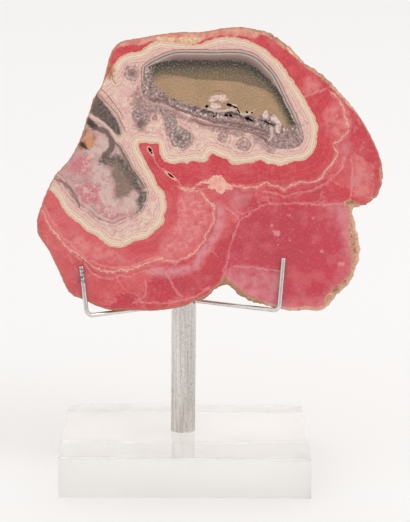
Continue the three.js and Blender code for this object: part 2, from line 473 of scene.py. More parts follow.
# %% The face's points
FACE_SPACING_MM = 0.5
HOLE_SPACING_MM = 0.17
BACK_SPACING_MM = 0.8


def lattice(low, high, spacing):
    """Points of a triangular lattice that covers a box."""
    rows = np.arange(low[1], high[1], spacing * math.sqrt(0.75))
    columns = np.arange(low[0], high[0], spacing)
    uu, vv = np.meshgrid(columns, rows)
    uu[1::2] += spacing / 2
    return np.stack([uu.ravel(), vv.ravel()], 1)


def inside_points(loop, spacing):
    """Lattice points inside a loop, clear of its edge."""
    spots = lattice(loop.min(0), loop.max(0), spacing)
    return spots[measure(spots, loop, True)[:, 0] > 0.6 * spacing]


def sheet(loop, spots):
    """Triangles that fill a loop and use all the spots. The loop's own points come first."""
    points = [Vector(p) for p in np.vstack([loop, spots])]
    rim = [(i, (i + 1) % len(loop)) for i in range(len(loop))]
    made = delaunay_2d_cdt(points, rim, [], 1, 1e-7)
    origin = [came[0] for came in made[3]]
    return np.array([[origin[i] for i in triangle] for triangle in made[2]])


RAGGED_MM = 0.55  # the broken outside only ever bites into the drawn outline
rim_normals = outward(outline)
ragged = np.array([noise.fractal(Vector((u * 0.55, v * 0.55, 7.0)), 0.7, 2.2, 5) for u, v in outline])
in_rind = np.clip(nearest_of(outline, RIND_STRIPS, True)[:, 0] + 1, 0, 1)
bite = np.clip(0.5 * ragged + 0.25, 0, 1) * RAGGED_MM * (0.45 + 1.2 * in_rind)
outline = outline - bite[:, None] * rim_normals

FRONT_INSET_MM = 0.5
front_loop = outline - FRONT_INSET_MM * rim_normals
coarse = inside_points(front_loop, FACE_SPACING_MM)
fine = []
for hole in HOLES:
    wide = (*hole[:2], hole[2] + 0.35, hole[3] + 0.35, *hole[4:])
    coarse = coarse[hole_shape(coarse, wide) < 0]
    patch = lattice(np.array(hole[:2]) - 2.5, np.array(hole[:2]) + 2.5, HOLE_SPACING_MM)
    patch = patch[hole_shape(patch, wide) > 0.05]
    for made in fine:
        gaps = np.linalg.norm(patch[:, None] - made[None], axis=2).min(1)
        patch = patch[gaps > 0.7 * HOLE_SPACING_MM]
    if len(patch):
        fine.append(patch)
front_spots = np.vstack([coarse, *fine])
front_faces = sheet(front_loop, front_spots)
front_uv = np.vstack([front_loop, front_spots])
print("front:", len(front_uv), "points,", len(front_faces), "triangles")

# %% Depth of the face: flat, with the holes and the sloping rind
rind_front = nearest_of(front_uv, RIND_STRIPS, True)[:, 0]
to_outline = measure(front_uv, outline, True)[:, 1]
fallen = np.clip(rind_front, 0, None) / (np.clip(rind_front, 0, None) + to_outline + 1e-6)
lumps = np.array([noise.fractal(Vector((u * 0.45, v * 0.45, 3.0)), 0.9, 2.1, 4) for u, v in front_uv])
front_depth = RIND_DROP_MM * fallen**1.3 + 0.9 * lumps * np.clip(rind_front / 1.2, 0, 1)
front_depth = np.maximum(front_depth, 0)
hole_depth = np.zeros(len(front_uv))
for hole in HOLES:
    sunk = np.clip(hole_shape(front_uv, hole) / 0.55, 0, 1)
    hole_depth = np.maximum(hole_depth, hole[5] * sunk**0.7)
gritty = np.array([noise.noise(Vector((u * 2.3, v * 2.3, 0))) for u, v in front_uv])
front_depth += hole_depth * (1 + 0.25 * gritty)
print("deepest hole, mm:", hole_depth.max().round(2))

# %% The rim's loops and the back
RIM_STEPS = [0.05, 0.14, 0.26, 0.4, 0.54, 0.68, 0.8, 0.9, 0.97, 1.0]
RIM_SWELL = [-0.16, 0.0, 0.06, 0.08, 0.05, -0.02, -0.15, -0.38, -0.68, -0.95]
RIM_ROUGH_MM = 0.32


def rim_loop(share, swell, start_depth):
    """One loop of the rim: its offset from the outline swells, then tucks in to the sawn back."""
    depth = start_depth + (SLAB_MM - start_depth) * share
    spots = outline + swell * rim_normals
    rough = [
        noise.fractal(Vector((p[0] * 0.5, p[1] * 0.5, d * 0.6)), 0.8, 2.2, 4) for p, d in zip(spots, depth)
    ]
    lively = RIM_ROUGH_MM * math.sin(math.pi * min(share * 1.15, 1.0))
    spots = spots + (np.array(rough) * lively)[:, None] * rim_normals
    return np.column_stack([spots, depth])


edge_depth = front_depth[: len(front_loop)]
loops = [rim_loop(share, swell, edge_depth) for share, swell in zip(RIM_STEPS, RIM_SWELL)]
back_loop = loops[-1][:, :2]
back_spots = inside_points(back_loop, BACK_SPACING_MM)
back_faces = sheet(back_loop, back_spots)
print("back:", len(back_spots), "points; rim loops:", len(loops))


# %% Join face, rim and back into one closed mesh
def upward(faces, spots):
    """The triangles, each turned so that it runs anticlockwise in the plane."""
    a, b, c = (spots[faces[:, k]] for k in range(3))
    turn = (b[:, 0] - a[:, 0]) * (c[:, 1] - a[:, 1]) - (b[:, 1] - a[:, 1]) * (c[:, 0] - a[:, 0])
    flipped = faces.copy()
    flipped[turn < 0] = faces[turn < 0][:, ::-1]
    return flipped


edge_count = len(outline)
front_uvd = np.column_stack([front_uv, front_depth])
back_uvd = np.column_stack([back_spots, np.full(len(back_spots), SLAB_MM)])
layers = [front_uvd, *loops, back_uvd]
starts = np.cumsum([0] + [len(layer) for layer in layers])
stone_uvd = np.vstack(layers)
triangles = [upward(front_faces, front_uv)]
ring_starts = [0] + list(starts[1:-2])
step = np.arange(edge_count)
following = np.roll(outline, -1, axis=0)
turns_left = np.sum(outline[:, 0] * following[:, 1] - outline[:, 1] * following[:, 0]) > 0
for upper, lower in zip(ring_starts, ring_starts[1:]):
    a, b = upper + step, upper + (step + 1) % edge_count
    c, d = lower + (step + 1) % edge_count, lower + step
    quads = [np.stack([a, d, c], 1), np.stack([a, c, b], 1)]
    triangles += quads if turns_left else [q[:, ::-1] for q in quads]
back_start = ring_starts[-1]
back_uv = np.vstack([back_loop, back_spots])
facing_back = upward(back_faces, back_uv)[:, ::-1]
on_loop = facing_back < edge_count
triangles.append(np.where(on_loop, back_start + facing_back, starts[-2] + facing_back - edge_count))
triangles = np.vstack(triangles)
stone_mesh = bpy.data.meshes.new("rhodochrosite")
stone_mesh.from_pydata(to_scene(stone_uvd).tolist(), [], triangles.tolist())
stone_mesh.validate()
stone = bpy.data.objects.new("polished_slice", stone_mesh)
bpy.context.scene.collection.objects.link(stone)
stone_mesh.shade_smooth()
print("slice:", len(stone_uvd), "points,", len(triangles), "triangles")


# %% [markdown]
# ## The figure in the stone
# Rhodochrosite of this kind grows as crusts round open channels. Outermost is the red mineral with
# radial fibres, then a cream and pink crust, then thin brown and grey skins, and last what filled
# the middle of each cavity. Saws cut these crusts into loops, so each boundary is drawn
# once here as a closed line (a zone) or an open one (a thread), and all colours hang on them.

# %% Zones: closed boundaries
ZONES = {
    # The cream crust round both cavities, with the bridge between them.
    "cream": [[
        (-34, 92), (-31, 96), (-29.2, 98.8), (-27.8, 100.8), (-25.8, 102.4), (-23.4, 103.4), (-20, 103.7),
        (-18.2, 104.4), (-16.5, 106.1), (-14, 107.6), (-10, 108.2), (-4, 107.8), (1, 106.8), (5, 107.5),
        (8, 108.6), (12, 109.7), (17, 109.9), (22, 109.2), (26, 107.8), (30, 105.5), (33, 103), (36, 100.3),
        (41, 93.7), (45.5, 87), (50, 79.3), (51.6, 75), (51.2, 70.3), (50.4, 66), (48, 62.8), (46, 61.7),
        (43, 61), (40.5, 60.7), (38.5, 59.6), (37, 59.2), (34.5, 59.8), (31.5, 60.2), (29.5, 61.3), (28, 61),
        (25, 60.2), (22, 59.9), (20, 59.5), (17.5, 59.7), (16, 61), (15, 62), (12, 62.7), (10, 63.9),
        (8.8, 63.3), (7.8, 61.3), (6, 60.4), (2, 60.8), (0, 59.7), (-2, 60), (-5, 59.7), (-8, 60),
        (-9.8, 61.4), (-11.3, 65), (-11.9, 67.3), (-15, 67.5), (-18.6, 67.7), (-19.1, 66), (-16.5, 60.5),
        (-12.5, 53.2), (-11, 50.7), (-9.4, 49), (-8.2, 45.6), (-8, 42.5), (-8.4, 40.4), (-9, 39),
        (-8.8, 37.3), (-9.7, 35.8), (-13, 32.5), (-15.4, 30.3), (-20, 29.1), (-24, 26.9), (-26, 26.3),
        (-28, 26.3), (-31, 27), (-34.5, 29.5), (-36.2, 31.3), (-39, 32.1), (-42.5, 35.3), (-45, 37),
        (-47.5, 39.3), (-49.5, 42), (-52, 46.5), (-56, 50), (-60, 56), (-50, 68), (-44, 84),
    ]],
    # Inside the thin brown skin of the big upper cavity.
    "upper_skin": [[
        (-18.6, 91), (-18.6, 97.6), (-17.4, 99.2), (-15.4, 100.6), (-13, 101.8), (-10.2, 103.2), (-7, 104.4),
        (-3, 105), (11, 105), (19, 105.2), (24.5, 104.2), (28.4, 102), (31, 99.8), (35.5, 94.5), (39.5, 86.5),
        (43.5, 78.5), (45.6, 73), (45.8, 69.5), (44, 67), (40, 66), (35, 66.2), (31, 68.4), (28, 71.2),
        (22, 73.6), (14, 75), (8, 76.6), (3, 78.6), (-1, 79.8), (-5, 81.4), (-9, 83.2), (-14, 84),
        (-17.5, 86),
    ]],
    # What fills the upper cavity: tan, with painted shade that makes it dark at the roof.
    "upper_fill": [[
        (-16, 97.6), (-13.6, 99), (-10, 100), (-3, 100.6), (12, 100.7), (20, 100.4), (25, 98.8), (29.5, 95.7),
        (33.6, 91.6), (37.2, 86.4), (40.2, 80.6), (42.6, 75.6), (41.5, 74.2), (37.6, 75.2), (35, 79),
        (31, 80.4), (28, 78.6), (24.5, 79.4), (20.4, 79.6), (17.6, 81.8), (12, 81), (7, 81.8), (3, 82.6),
        (-1, 84.2), (-5, 85.4), (-9, 86.8), (-11.4, 88.6), (-13, 91), (-13.8, 93.6), (-14.6, 95.4),
    ]],
    # Inside the thin brown skin of the lower-left cavity.
    "lower_skin": [[
        (-26.7, 67.8), (-23.7, 63), (-21, 58), (-18.3, 54.5), (-16.2, 51.3), (-15.2, 47.9), (-15.6, 45),
        (-16.6, 42.6), (-18, 40.2), (-21, 38), (-25, 36.2), (-29, 34.6), (-33, 35.4), (-37, 37.4),
        (-40, 40.2), (-43, 42), (-46, 44.8), (-49.5, 49), (-52.4, 53), (-60, 58), (-52, 68), (-44, 72),
        (-40, 79.5), (-36, 77.3), (-33, 75.3), (-30.6, 72.4), (-28.4, 69.6),
    ]],
    # A patch of painted shade under the lower-left cavity's upper-right rim.
    "lower_dark": [[
        (-35, 60.4), (-33, 62.4), (-28, 63), (-25, 61.6), (-22.4, 57.6), (-19.8, 53.6), (-17.8, 50),
        (-16.9, 47), (-17.2, 44), (-18.6, 42), (-19.6, 44), (-19.4, 47.4), (-21, 49.2), (-23, 47.2),
        (-26, 45.9), (-28.6, 46.6), (-28.8, 50), (-29.6, 54), (-30.6, 57.6), (-33, 58.6),
    ]],
    "pale_cloud": [
        [(-37, 60), (-34, 58), (-30.6, 57), (-29.4, 52), (-29, 46), (-26, 44.6), (-20.5, 48), (-19.6, 42),
         (-24, 39.5), (-31, 40), (-34, 44), (-35, 50), (-38, 54)],
        [(-38, 68.6), (-36, 70), (-33, 70.2), (-31.2, 68), (-31.6, 65), (-34, 63), (-38, 62.6), (-40.6, 64)],
        [(-27.6, 50), (-25, 50), (-24.6, 47.6), (-26.6, 47)],
    ],
    "rose_patch": [
        [(-46, 60), (-42, 62.4), (-38.6, 61), (-38, 57.6), (-40, 55), (-44.6, 55.6), (-47, 57.6)],
        [(-43.6, 50), (-40, 51.6), (-35.4, 50.6), (-33.6, 47), (-35, 44), (-39.6, 43.6), (-43, 46)],
        [(-36, 44), (-30, 43.6), (-24, 41.6), (-22, 39), (-28, 38), (-34, 40)],
    ],
    # A wedge of painted shade near the upper left.
    "wedge": [
        [(-41, 88), (-36.4, 86.6), (-33.6, 83.6), (-31.2, 80.7), (-28.6, 77), (-26.9, 73.2), (-26.8, 71.2),
         (-28.4, 71.6), (-30.4, 73), (-32.4, 74.8), (-35.4, 77.4), (-38.9, 80), (-42, 81)],
    ],
    "soot_patch": [
        [(-42, 79), (-39.5, 78), (-36.6, 75.6), (-35.4, 73.6), (-37.4, 73.4), (-40, 75.4), (-43, 76)],
        [(-43.6, 68.8), (-41.4, 67.6), (-39, 65), (-40.2, 65.2), (-42.6, 66.6), (-44.6, 68)],
    ],
    "rust": [
        [(-44, 74.5), (-40.5, 73), (-37.2, 72), (-36.2, 69.4), (-37.6, 66.6), (-40, 65.2), (-43.4, 65.6),
         (-45, 70)],
        [(-32, 98.6), (-30.6, 98.8), (-28.8, 96.4), (-29.6, 94), (-31.6, 93)],
    ],
    # The crust between the red mineral and the outside, along the top.
    "salmon_crust": [[
        (-36, 98), (-31, 98), (-30.4, 101), (-29.6, 103.6), (-27, 105), (-24.2, 106.1), (-21, 106.3),
        (-18.6, 106.2), (-16.2, 106.8), (-14.6, 107.8), (-8, 108.5), (-2, 108.2), (2, 107.2), (5, 108),
        (9, 109.5), (14, 110.4), (20, 110.2), (26, 109.4), (28, 112), (26, 120), (-36, 116),
    ]],
    "tan_crust": [
        [(-12, 108.2), (-6, 107.6), (0, 106.6), (4, 107.2), (6, 108.6), (4, 110), (-4, 109.8), (-12, 110)],
        [(25.6, 114), (27, 111.6), (31, 110.4), (35, 108), (38, 105.6), (42, 102), (47, 98), (52, 94.6),
         (57, 89.8), (63, 83.6), (68, 80), (62, 92), (50, 103), (38, 113), (27, 118)],
    ],
    "disc": [[
        (-2.5, 50.5), (0.2, 49.6), (5.2, 48.2), (8.2, 45.4), (10.7, 42.4), (10.8, 39.3), (9.7, 35.4),
        (8, 32.6), (6.9, 29.2), (4.6, 26.4), (1.8, 23.6), (-1.5, 21.9), (-4.9, 21), (-9.8, 21.4), (-13.8, 21),
        (-19, 19.7), (-23, 18.5), (-28.4, 18.1), (-32.5, 18.6), (-36, 19.9), (-40, 22.2), (-45.2, 26.4),
        (-51.4, 33.1), (-56.1, 41.5), (-50, 50), (-30, 50), (-12, 50), (-8, 49),
    ]],
    "disc_heart": [[
        (-2, 48.5), (3, 47.5), (7.5, 44), (9, 39), (7, 33), (3, 27), (-2, 23.4), (-8, 22.6), (-11, 26),
        (-7, 32), (-5, 38), (-5, 44),
    ]],
    "hot_red": [
        [(-24.4, 26.6), (-20, 28.4), (-15, 29.4), (-11, 30), (-10.6, 26), (-13, 23.2), (-18, 23), (-22, 24)],
        [(-7, 60), (-12, 52), (-6.6, 47), (-6, 38), (-9, 36), (-4, 36), (-3.4, 48), (0, 52), (-1, 58)],
        [(33, 103.4), (40, 100.4), (45.6, 97.2), (44, 92), (41.4, 94.6), (37, 99.6)],
        [(-29, 99.6), (-29.4, 101.8), (-28, 103.6), (-24.4, 105.6), (-18.6, 105.6), (-16, 106), (-19, 103.8),
         (-24, 103.4)],
    ],
    "crimson": [
        [(-9, 16), (-3, 17.4), (4, 18), (10, 23), (14, 30), (16.6, 27), (15, 18), (13, 13), (6, 8.6), (-2, 6),
         (-5, 10)],
        [(20, 33), (22.6, 37.4), (30, 42.6), (42, 43), (48, 38), (46, 30), (50, 22), (40, 19.6), (26, 21),
         (18, 21)],
    ],
    "right_lobe": [[
        (14.4, 14.7), (15.5, 18.4), (16.5, 22.7), (17.1, 26.9), (18.7, 31.7), (20.3, 36), (20.3, 37.6),
        (22.4, 38.7), (25.6, 40.8), (29.9, 43.7), (34.7, 44), (45.9, 44.5), (51.2, 43.9), (62.4, 44.2),
        (72, 42), (74, 20), (60, -4), (30, -2), (16, 8),
    ]],
    "lilac_haze": [
        [(16, 18.6), (24, 19.4), (37, 17.4), (38.4, 10), (37, 3), (28, 4), (19, 9), (14.6, 13)],
        [(53, 44), (58, 38), (61, 30), (62.4, 22), (66, 24), (66, 36), (63, 45)],
        [(17.6, 49), (22, 50), (25.6, 48), (24, 44), (19.6, 42), (17, 45)],
        [(64.6, 57.6), (68, 57), (69.4, 53), (66.6, 50.8), (64.2, 53)],
        [(60, 69), (64, 69.6), (65.6, 66), (63, 62.6), (60, 65)],
    ],
    "light_red": [
        [(43.6, 90.6), (46, 94.2), (49.6, 95), (53.4, 92), (52, 88.6), (46.4, 87.2)],
        [(53, 80), (57, 84), (63, 82), (66, 77), (64, 71), (59, 70), (55, 73)],
        [(66, 64), (70, 62), (73, 54), (72, 48), (66, 47), (65.4, 56)],
        [(38, 9), (48, 8), (58, 12), (62, 16), (58, 8), (50, 3), (40, 3)],
        [(-46, 27), (-38, 22), (-30, 20), (-24, 21), (-28, 25), (-38, 29), (-44, 33)],
    ],
    "cream_blob": [[
        (5.2, 53), (6.6, 52.8), (8.2, 53.4), (10, 54.8), (12, 55.2), (14.6, 54.2), (15.4, 52.4), (17, 52),
        (18.2, 50.4), (17.4, 49.4), (15.6, 49.8), (14, 48.4), (12.4, 48.2), (11, 49.6), (9, 49.8),
        (8.2, 51.6), (6.4, 52), (5, 52.2),
    ]],
    # Mauve, knobbly growth left of the filling, below it and in its right-hand corner.
    "mauve_haze": [
        [(-21.6, 87.7), (-19, 90), (-17.2, 90.8), (-12.7, 89.2), (-8.2, 84.6), (-4.5, 81.6), (-0.8, 78.5),
         (8.2, 75.4), (15.6, 73.9), (21.6, 73.5), (21.6, 70.8), (13.8, 71.9), (8.2, 73.5), (0.7, 76.6),
         (-3.7, 77.7), (-6.7, 75.4), (0.7, 72.3), (2.2, 69.2), (-0.8, 66.2), (-4.9, 66.9), (-7.1, 69.2),
         (-9, 73.9), (-10.5, 78.5), (-14.2, 79.2), (-15.7, 75.4), (-17.2, 72.3), (-20.9, 73.9), (-22, 77.7),
         (-21.6, 81.5), (-22, 85.4)],
        [(26.2, 72.3), (31.1, 71.6), (32.6, 73.9), (36.3, 73.5), (41.9, 72.7), (42.2, 68.1), (40, 66.2),
         (36.3, 66.2), (32.6, 63.9), (29.6, 66.9), (26.2, 69.3)],
    ],
    "white_knob": [
        [(8.2, 84.4), (9.4, 86.2), (12, 86.8), (15, 86.6), (16, 85.2), (14.6, 84.6), (11, 84.8)],
        [(8.8, 83.6), (11, 84), (13, 82.8), (12, 81.8), (9.6, 81.8)],
        [(29.4, 78.6), (30.6, 81.2), (31.4, 80.6), (31.4, 77.6), (30, 76.8)],
        [(33, 78), (34.6, 79.6), (36.4, 77), (37, 74.6), (36, 72.4), (34.8, 73.4), (35, 76)],
    ],
}
print(len(ZONES), "kinds of zone,", sum(len(z) for z in ZONES.values()), "boundaries")

# %% Threads: thin lines, as lists of points; their half widths are given where they are painted
THREADS = {
    "cream_thread": [
        [(57, 88), (60, 85), (61.6, 81.9), (62.7, 78), (63.3, 74.4), (62.3, 71.8), (60, 69.6), (58.2, 67.6),
         (58.9, 65.3), (58.6, 62.1), (56.5, 59.3), (54.4, 56.3), (51.2, 53.5), (48, 52.7), (43.7, 52.6),
         (42.1, 51.5), (40, 50.9), (37.9, 50.1), (35.2, 51.2), (33.1, 51.2), (31.4, 52.4), (29.9, 51.7),
         (27.7, 50.7), (25.6, 51.2), (22.9, 50), (21.3, 51.1), (18, 51.4)],
        [(-3, 50.5), (0, 49.9), (2.6, 50.3), (5, 51.8), (7, 53)],
        [(-2.5, 50.5), (0.2, 49.5), (4.2, 49), (7.2, 46.8), (9, 44.6), (10.6, 42.4), (10.8, 39.3),
         (9.9, 35.8), (8, 32.6), (6.9, 29.2), (4.6, 26.4), (1.8, 23.6), (-1.5, 21.9), (-4.9, 21),
         (-8.8, 21.1), (-10, 22), (-13.8, 20.9), (-17.4, 19.2), (-20.6, 18.8), (-22.8, 17.7), (-28.4, 16.9),
         (-32.3, 16.9), (-36.2, 18.3), (-39.6, 20.8), (-43, 23.5), (-46.9, 25.8), (-49.1, 28.6),
         (-51.9, 31.7), (-54.7, 35.4), (-57.2, 40.4)],
    ],
    "pale_thread": [
        [(-11.6, 22.8), (-15.5, 21.5), (-19.4, 19.9), (-22.8, 18.8), (-28.4, 18.4), (-32.3, 18.8),
         (-35.7, 20), (-39.6, 22.2), (-42.4, 24.4), (-45.2, 26.8), (-48, 29.6), (-51.4, 33.4), (-54.2, 37.8),
         (-56.1, 41.7)],
        [(-13.3, 15.8), (-16.6, 17.2), (-20, 16.3), (-21.7, 14.9), (-26.2, 15.2), (-28.4, 14.4),
         (-33.4, 14.4), (-36.8, 15.8), (-39.6, 18.8), (-44, 23), (-48, 27)],
        [(14.2, 13.4), (15.5, 18.4), (16.5, 22.7), (17.1, 26.9), (18.7, 31.7), (20.4, 36), (20.2, 37.8),
         (18, 40.8), (15.5, 42.9)],
        [(20.4, 37.4), (22.4, 38.7), (25.6, 40.8), (29.9, 43.7), (34.7, 44.1), (40, 44.4), (45.9, 44.5),
         (51.2, 43.9), (57, 44.1), (62.6, 44.8), (64.2, 46.4), (65.1, 50), (65.4, 57), (65, 62)],
        [(62.4, 62.9), (60.8, 58.4), (57.6, 54.7), (53.9, 52), (50.1, 49.9), (46.4, 48.8), (42.7, 48.3),
         (38.9, 47.1), (34.7, 48.3), (30, 49)],
        [(45.6, 86.6), (48, 87.2), (50.4, 88.4), (54, 89.8)],
        [(-8.5, 16.5), (-6, 13), (-4, 9.5), (-2, 7.3)],
        [(-16.4, 13), (-16, 10), (-17, 7), (-20.6, 4.6)],
        [(-13.8, 63.4), (-12.6, 60.4), (-10.6, 58), (-8.6, 56.4), (-5, 54), (-2.6, 51.6)],
        [(19, 19.2), (26, 19), (32, 18), (37, 17.4)],
        [(-20, 5), (-12, 4.4), (-4, 5), (3, 7), (9, 10.6)],
    ],
    "brown_thread": [
        [(57.6, 69.4), (57.9, 65.3), (57.7, 62.4), (55.8, 60), (53.6, 57.2), (50.8, 54.4), (47.8, 53.6),
         (43.4, 53.6), (40, 52), (37.9, 51.1), (35.2, 52.2), (33.4, 52.2), (31.4, 53.3), (29.4, 52.6)],
        [(-36.8, 88), (-34, 85.7), (-31.5, 82.9), (-29, 80.3), (-26.9, 77.1), (-25.4, 74.2), (-24.6, 72.4)],
        [(-35.4, 89.6), (-32.6, 87.2), (-29.8, 84), (-27.4, 81), (-25.6, 78)],
        [(11.6, 42.8), (11.8, 39.2), (10.6, 35), (8.9, 32.2), (7.6, 29), (5.4, 26)],
        [(-46.4, 25.2), (-42.6, 22.8), (-39.4, 20.1), (-36, 17.6), (-32.4, 16.2), (-28.2, 16.2), (-22.6, 17)],
        [(10, 88.4), (12.4, 88.6), (14.6, 88.3)],
        [(-30, 94.4), (-29.6, 92.8), (-28.8, 91.4)],
    ],
    "dark_band": [
        [(-36.4, 73.4), (-34, 72.8), (-32, 71.8), (-30.4, 69.6), (-30, 66.6), (-31, 64.2), (-33, 62.6)],
    ],
    "mauve_thread": [
        [(-14.6, 85), (-11, 84.6), (-8, 83.8), (-4, 81.2), (0, 79.9), (6, 77.7), (10, 76.6), (16, 76.2),
         (22, 75), (28, 73.7), (31.6, 72.4)],
        [(-52, 53.5), (-48, 51), (-45, 47.5), (-42.6, 42.8)],
        [(2, 77.2), (6, 75.4), (12, 74.6), (18, 73.8), (24, 72.6), (28.6, 70.8), (32, 68)],
    ],
    "white_thread": [
        [(-39.6, 79), (-36, 77.1), (-33, 75.1), (-31, 73.3), (-29.2, 71.2), (-27.6, 68.6)],
        [(-14, 17), (-10, 16.8), (-5, 17.3), (0, 18), (4, 20), (6.2, 24.2), (9, 28), (11.4, 32), (12.8, 37.6),
         (13, 43)],
        [(33, 74), (33.4, 71.6), (32.4, 69.6)],
        [(17.4, 82.9), (19, 82.6), (20.2, 80.6), (21.6, 79.4), (23.4, 79.5), (24.8, 80.2)],
        [(8, 81.4), (12, 80.6), (15.4, 81), (18, 81.2)],
    ],
    "druse": [
        [(-15, 96.4), (-16.4, 95), (-15.6, 93), (-16, 91), (-13.6, 89.6), (-11.4, 87.6), (-8.6, 85.4),
         (-5, 83.6), (-1, 82.2), (3, 80.9), (7.6, 79.8), (12.4, 79.2), (17, 78.9), (21, 78.2), (25, 76.9),
         (29, 75.9), (33, 74.6), (37, 73.8), (41, 73.8), (43.6, 74.6)],
    ],
    "soot_line": [
        [(3, 81.4), (7.6, 80.4), (13, 79.8), (18, 79.7), (22, 78.6), (25.6, 77.4)],
        [(29.4, 77.2), (31.6, 76.2), (33.6, 75.8)],
    ],
    # The upper cavity's roof: the filling's painted shade darkens towards it.
    "roof": [
        [(-16, 97.6), (-13.6, 99), (-10, 100), (-3, 100.6), (12, 100.7), (20, 100.4), (25, 98.8),
         (29.5, 95.7), (33.6, 91.6), (37.2, 86.4), (40.2, 80.6), (42.8, 74.6)],
    ],
    "silt_line": [[(-12, 95.6), (-6, 95.2), (-1, 94.2), (4, 93.4), (10, 93.2), (18, 92.8), (24, 91.4),
                   (30, 89.8), (34, 87.4), (36.6, 84)]],
    # The lower-left cavity's upper-right rim: its painted shade is darkest along this line.
    "lower_roof": [
        [(-35, 60.4), (-33, 62.4), (-28, 63), (-25, 61.6), (-22.4, 57.6), (-19.8, 53.6), (-17.8, 50),
         (-16.9, 47), (-17.2, 44)],
    ],
}
print(len(THREADS), "kinds of thread,", sum(len(t) for t in THREADS.values()), "lines")

# %% Eyes and flecks: small round growths, as centre and radius
EYES = {
    "mauve_eye": [(-22.2, 95.4, 3.6), (-13.6, 88, 3.4), (-18.6, 86, 2.6), (-16, 81.5, 1.5), (22.2, 67.6, 3.2),
                  (14, 70.4, 2.6)],
    "grey_eye": [(-19.6, 79, 2.8), (-3, 70.4, 4.6), (-6.6, 76, 3.0), (-13, 78, 1.6)],
    "dark_core": [(-22.2, 95.2, 1.6), (-18.4, 75.4, 2.0), (-3.4, 70, 1.5), (-1.8, 68.6, 1.0),
                  (-18.4, 85.2, 1.0), (-41.6, 49.2, 0.45), (-38, 48.8, 0.55), (-42.6, 46, 0.5),
                  (-34.8, 37.8, 0.75), (-25.6, 36, 0.35), (27.2, 66.2, 0.35), (-45.4, 52.6, 0.3)],
    "fleck": [(35.6, 32.6, 0.9), (34.4, 33.2, 0.5), (53.5, 25.6, 0.6), (60.4, 20.3, 0.9), (62, 20.4, 0.5),
              (33.5, 35.4, 0.4), (40.8, 42.4, 0.6), (41, 30.2, 0.35), (48.6, 19, 0.4), (45.4, 25.4, 0.35),
              (58.8, 79, 0.45), (50.2, 39, 0.5), (40.4, 39.6, 0.5), (36.4, 28, 0.4)],
}


def nearest_circle(spots, circles):
    """Distance inside the nearest circle, in mm, and the same as a share of its radius."""
    gaps = np.stack([c[2] - np.hypot(spots[:, 0] - c[0], spots[:, 1] - c[1]) for c in circles])
    best = gaps.argmax(0)
    radius = np.array([c[2] for c in circles])[best]
    inside = gaps[best, np.arange(len(spots))]
    return np.stack([inside, inside / radius, radius], 1)


print({kind: len(circles) for kind, circles in EYES.items()})


# %% Store the distances on the stone's vertices
def store(mesh, name, values):
    """Writes one vector for each vertex."""
    layer = mesh.attributes.new(name, "FLOAT_VECTOR", "POINT")
    layer.data.foreach_set("vector", np.ascontiguousarray(values, np.float32).ravel())


spots = stone_uvd[:, :2]
fields = {name: nearest_of(spots, lines, True) for name, lines in ZONES.items()}
fields |= {name: nearest_of(spots, lines, False) for name, lines in THREADS.items()}
fields |= {name: nearest_circle(spots, circles) for name, circles in EYES.items()}
rind_depth = nearest_of(spots, RIND_STRIPS, True)[:, 0]
on_rim = np.zeros(len(spots))
on_rim[starts[1]:starts[-2]] = 1.0
on_back = (stone_uvd[:, 2] > SLAB_MM - 0.01).astype(float)
holes = np.zeros(len(spots))
holes[: len(hole_depth)] = hole_depth
is_rim = (on_rim * (1 - on_back)) > 0.5
fields["surface"] = np.stack([np.where(is_rim, 6.0, rind_depth), on_back, holes], 1)
vug = np.max([hole_shape(spots, hole) * hole[3] * 1.6 for hole in HOLES], axis=0)
fields["edges"] = np.stack([measure(spots, outline, True)[:, 1], vug, 0 * vug], 1)
fields["face_mm"] = stone_uvd
for name, values in fields.items():
    store(stone_mesh, name, values)
print(len(fields), "fields on", len(spots), "points")


# %% [markdown]
# ## Painting the stone
# The finish is laid on like washes of colour, from the oldest growth to the newest. Each wash has a mask
# made from one of the stored distances, with its edge moved a little by noise, so no boundary looks drawn.
# Speckle, crystal dots, fibres and agate-like contour lines are textures with their scale in millimetres.

# %% Start the stone's material
finish, tree, shader = new_material("banded_rhodochrosite", IOR=1.6)
stone_mesh.materials.append(finish)
face_mm = place(tree, "ShaderNodeAttribute", attribute_name="face_mm").outputs["Vector"]


def field(name):
    """The three numbers stored under a name."""
    stored = place(tree, "ShaderNodeAttribute", attribute_name=name).outputs["Vector"]
    return place(tree, "ShaderNodeSeparateXYZ", {0: stored}).outputs


wander_group, g_in, g_out = new_group("edge_wander", [("Vector", "v")], [("Wander", "f")])
slow = calc(wander_group, "SUBTRACT", noise_value(wander_group, g_in.outputs["Vector"], 0.32, 2.0), 0.5)
quick = calc(wander_group, "SUBTRACT", noise_value(wander_group, g_in.outputs["Vector"], 1.4, 3.0), 0.5)
wander_group.links.new(calc(wander_group, "MULTIPLY_ADD", slow, 1.6, quick), g_out.inputs["Wander"])
wander = place(tree, "ShaderNodeGroup", {"Vector": face_mm}, node_tree=wander_group).outputs["Wander"]


def zone(name, soft=0.3, start=0.0, rough_edge=0.8):
    """1 inside a zone, 0 outside. The edge is soft mm wide and starts that far inside."""
    moved = calc(tree, "MULTIPLY_ADD", wander, rough_edge, field(name)[0])
    return fade(tree, moved, start - soft / 2, start + soft / 2)


def thread(name, half_width, soft=0.2, rough_edge=0.6, shift=0.0):
    """1 on a family of lines. A shift moves the mark off to the left of each line."""
    signed, near, _ = field(name)
    moved = calc(tree, "MULTIPLY_ADD", wander, rough_edge, signed)
    distance = calc(tree, "ABSOLUTE", calc(tree, "SUBTRACT", moved, shift))
    mark = fade(tree, distance, half_width + soft, half_width)
    return calc(tree, "MULTIPLY", mark, fade(tree, near, 3.2, 2.6))


def times(*masks):
    """Masks or strengths multiplied together."""
    result = masks[0]
    for mask in masks[1:]:
        result = calc(tree, "MULTIPLY", result, mask)
    return result


def wash(under, over, *masks):
    """A colour laid over another, only as strongly as all the masks allow."""
    return blend(tree, times(*masks), under, tone(*over))


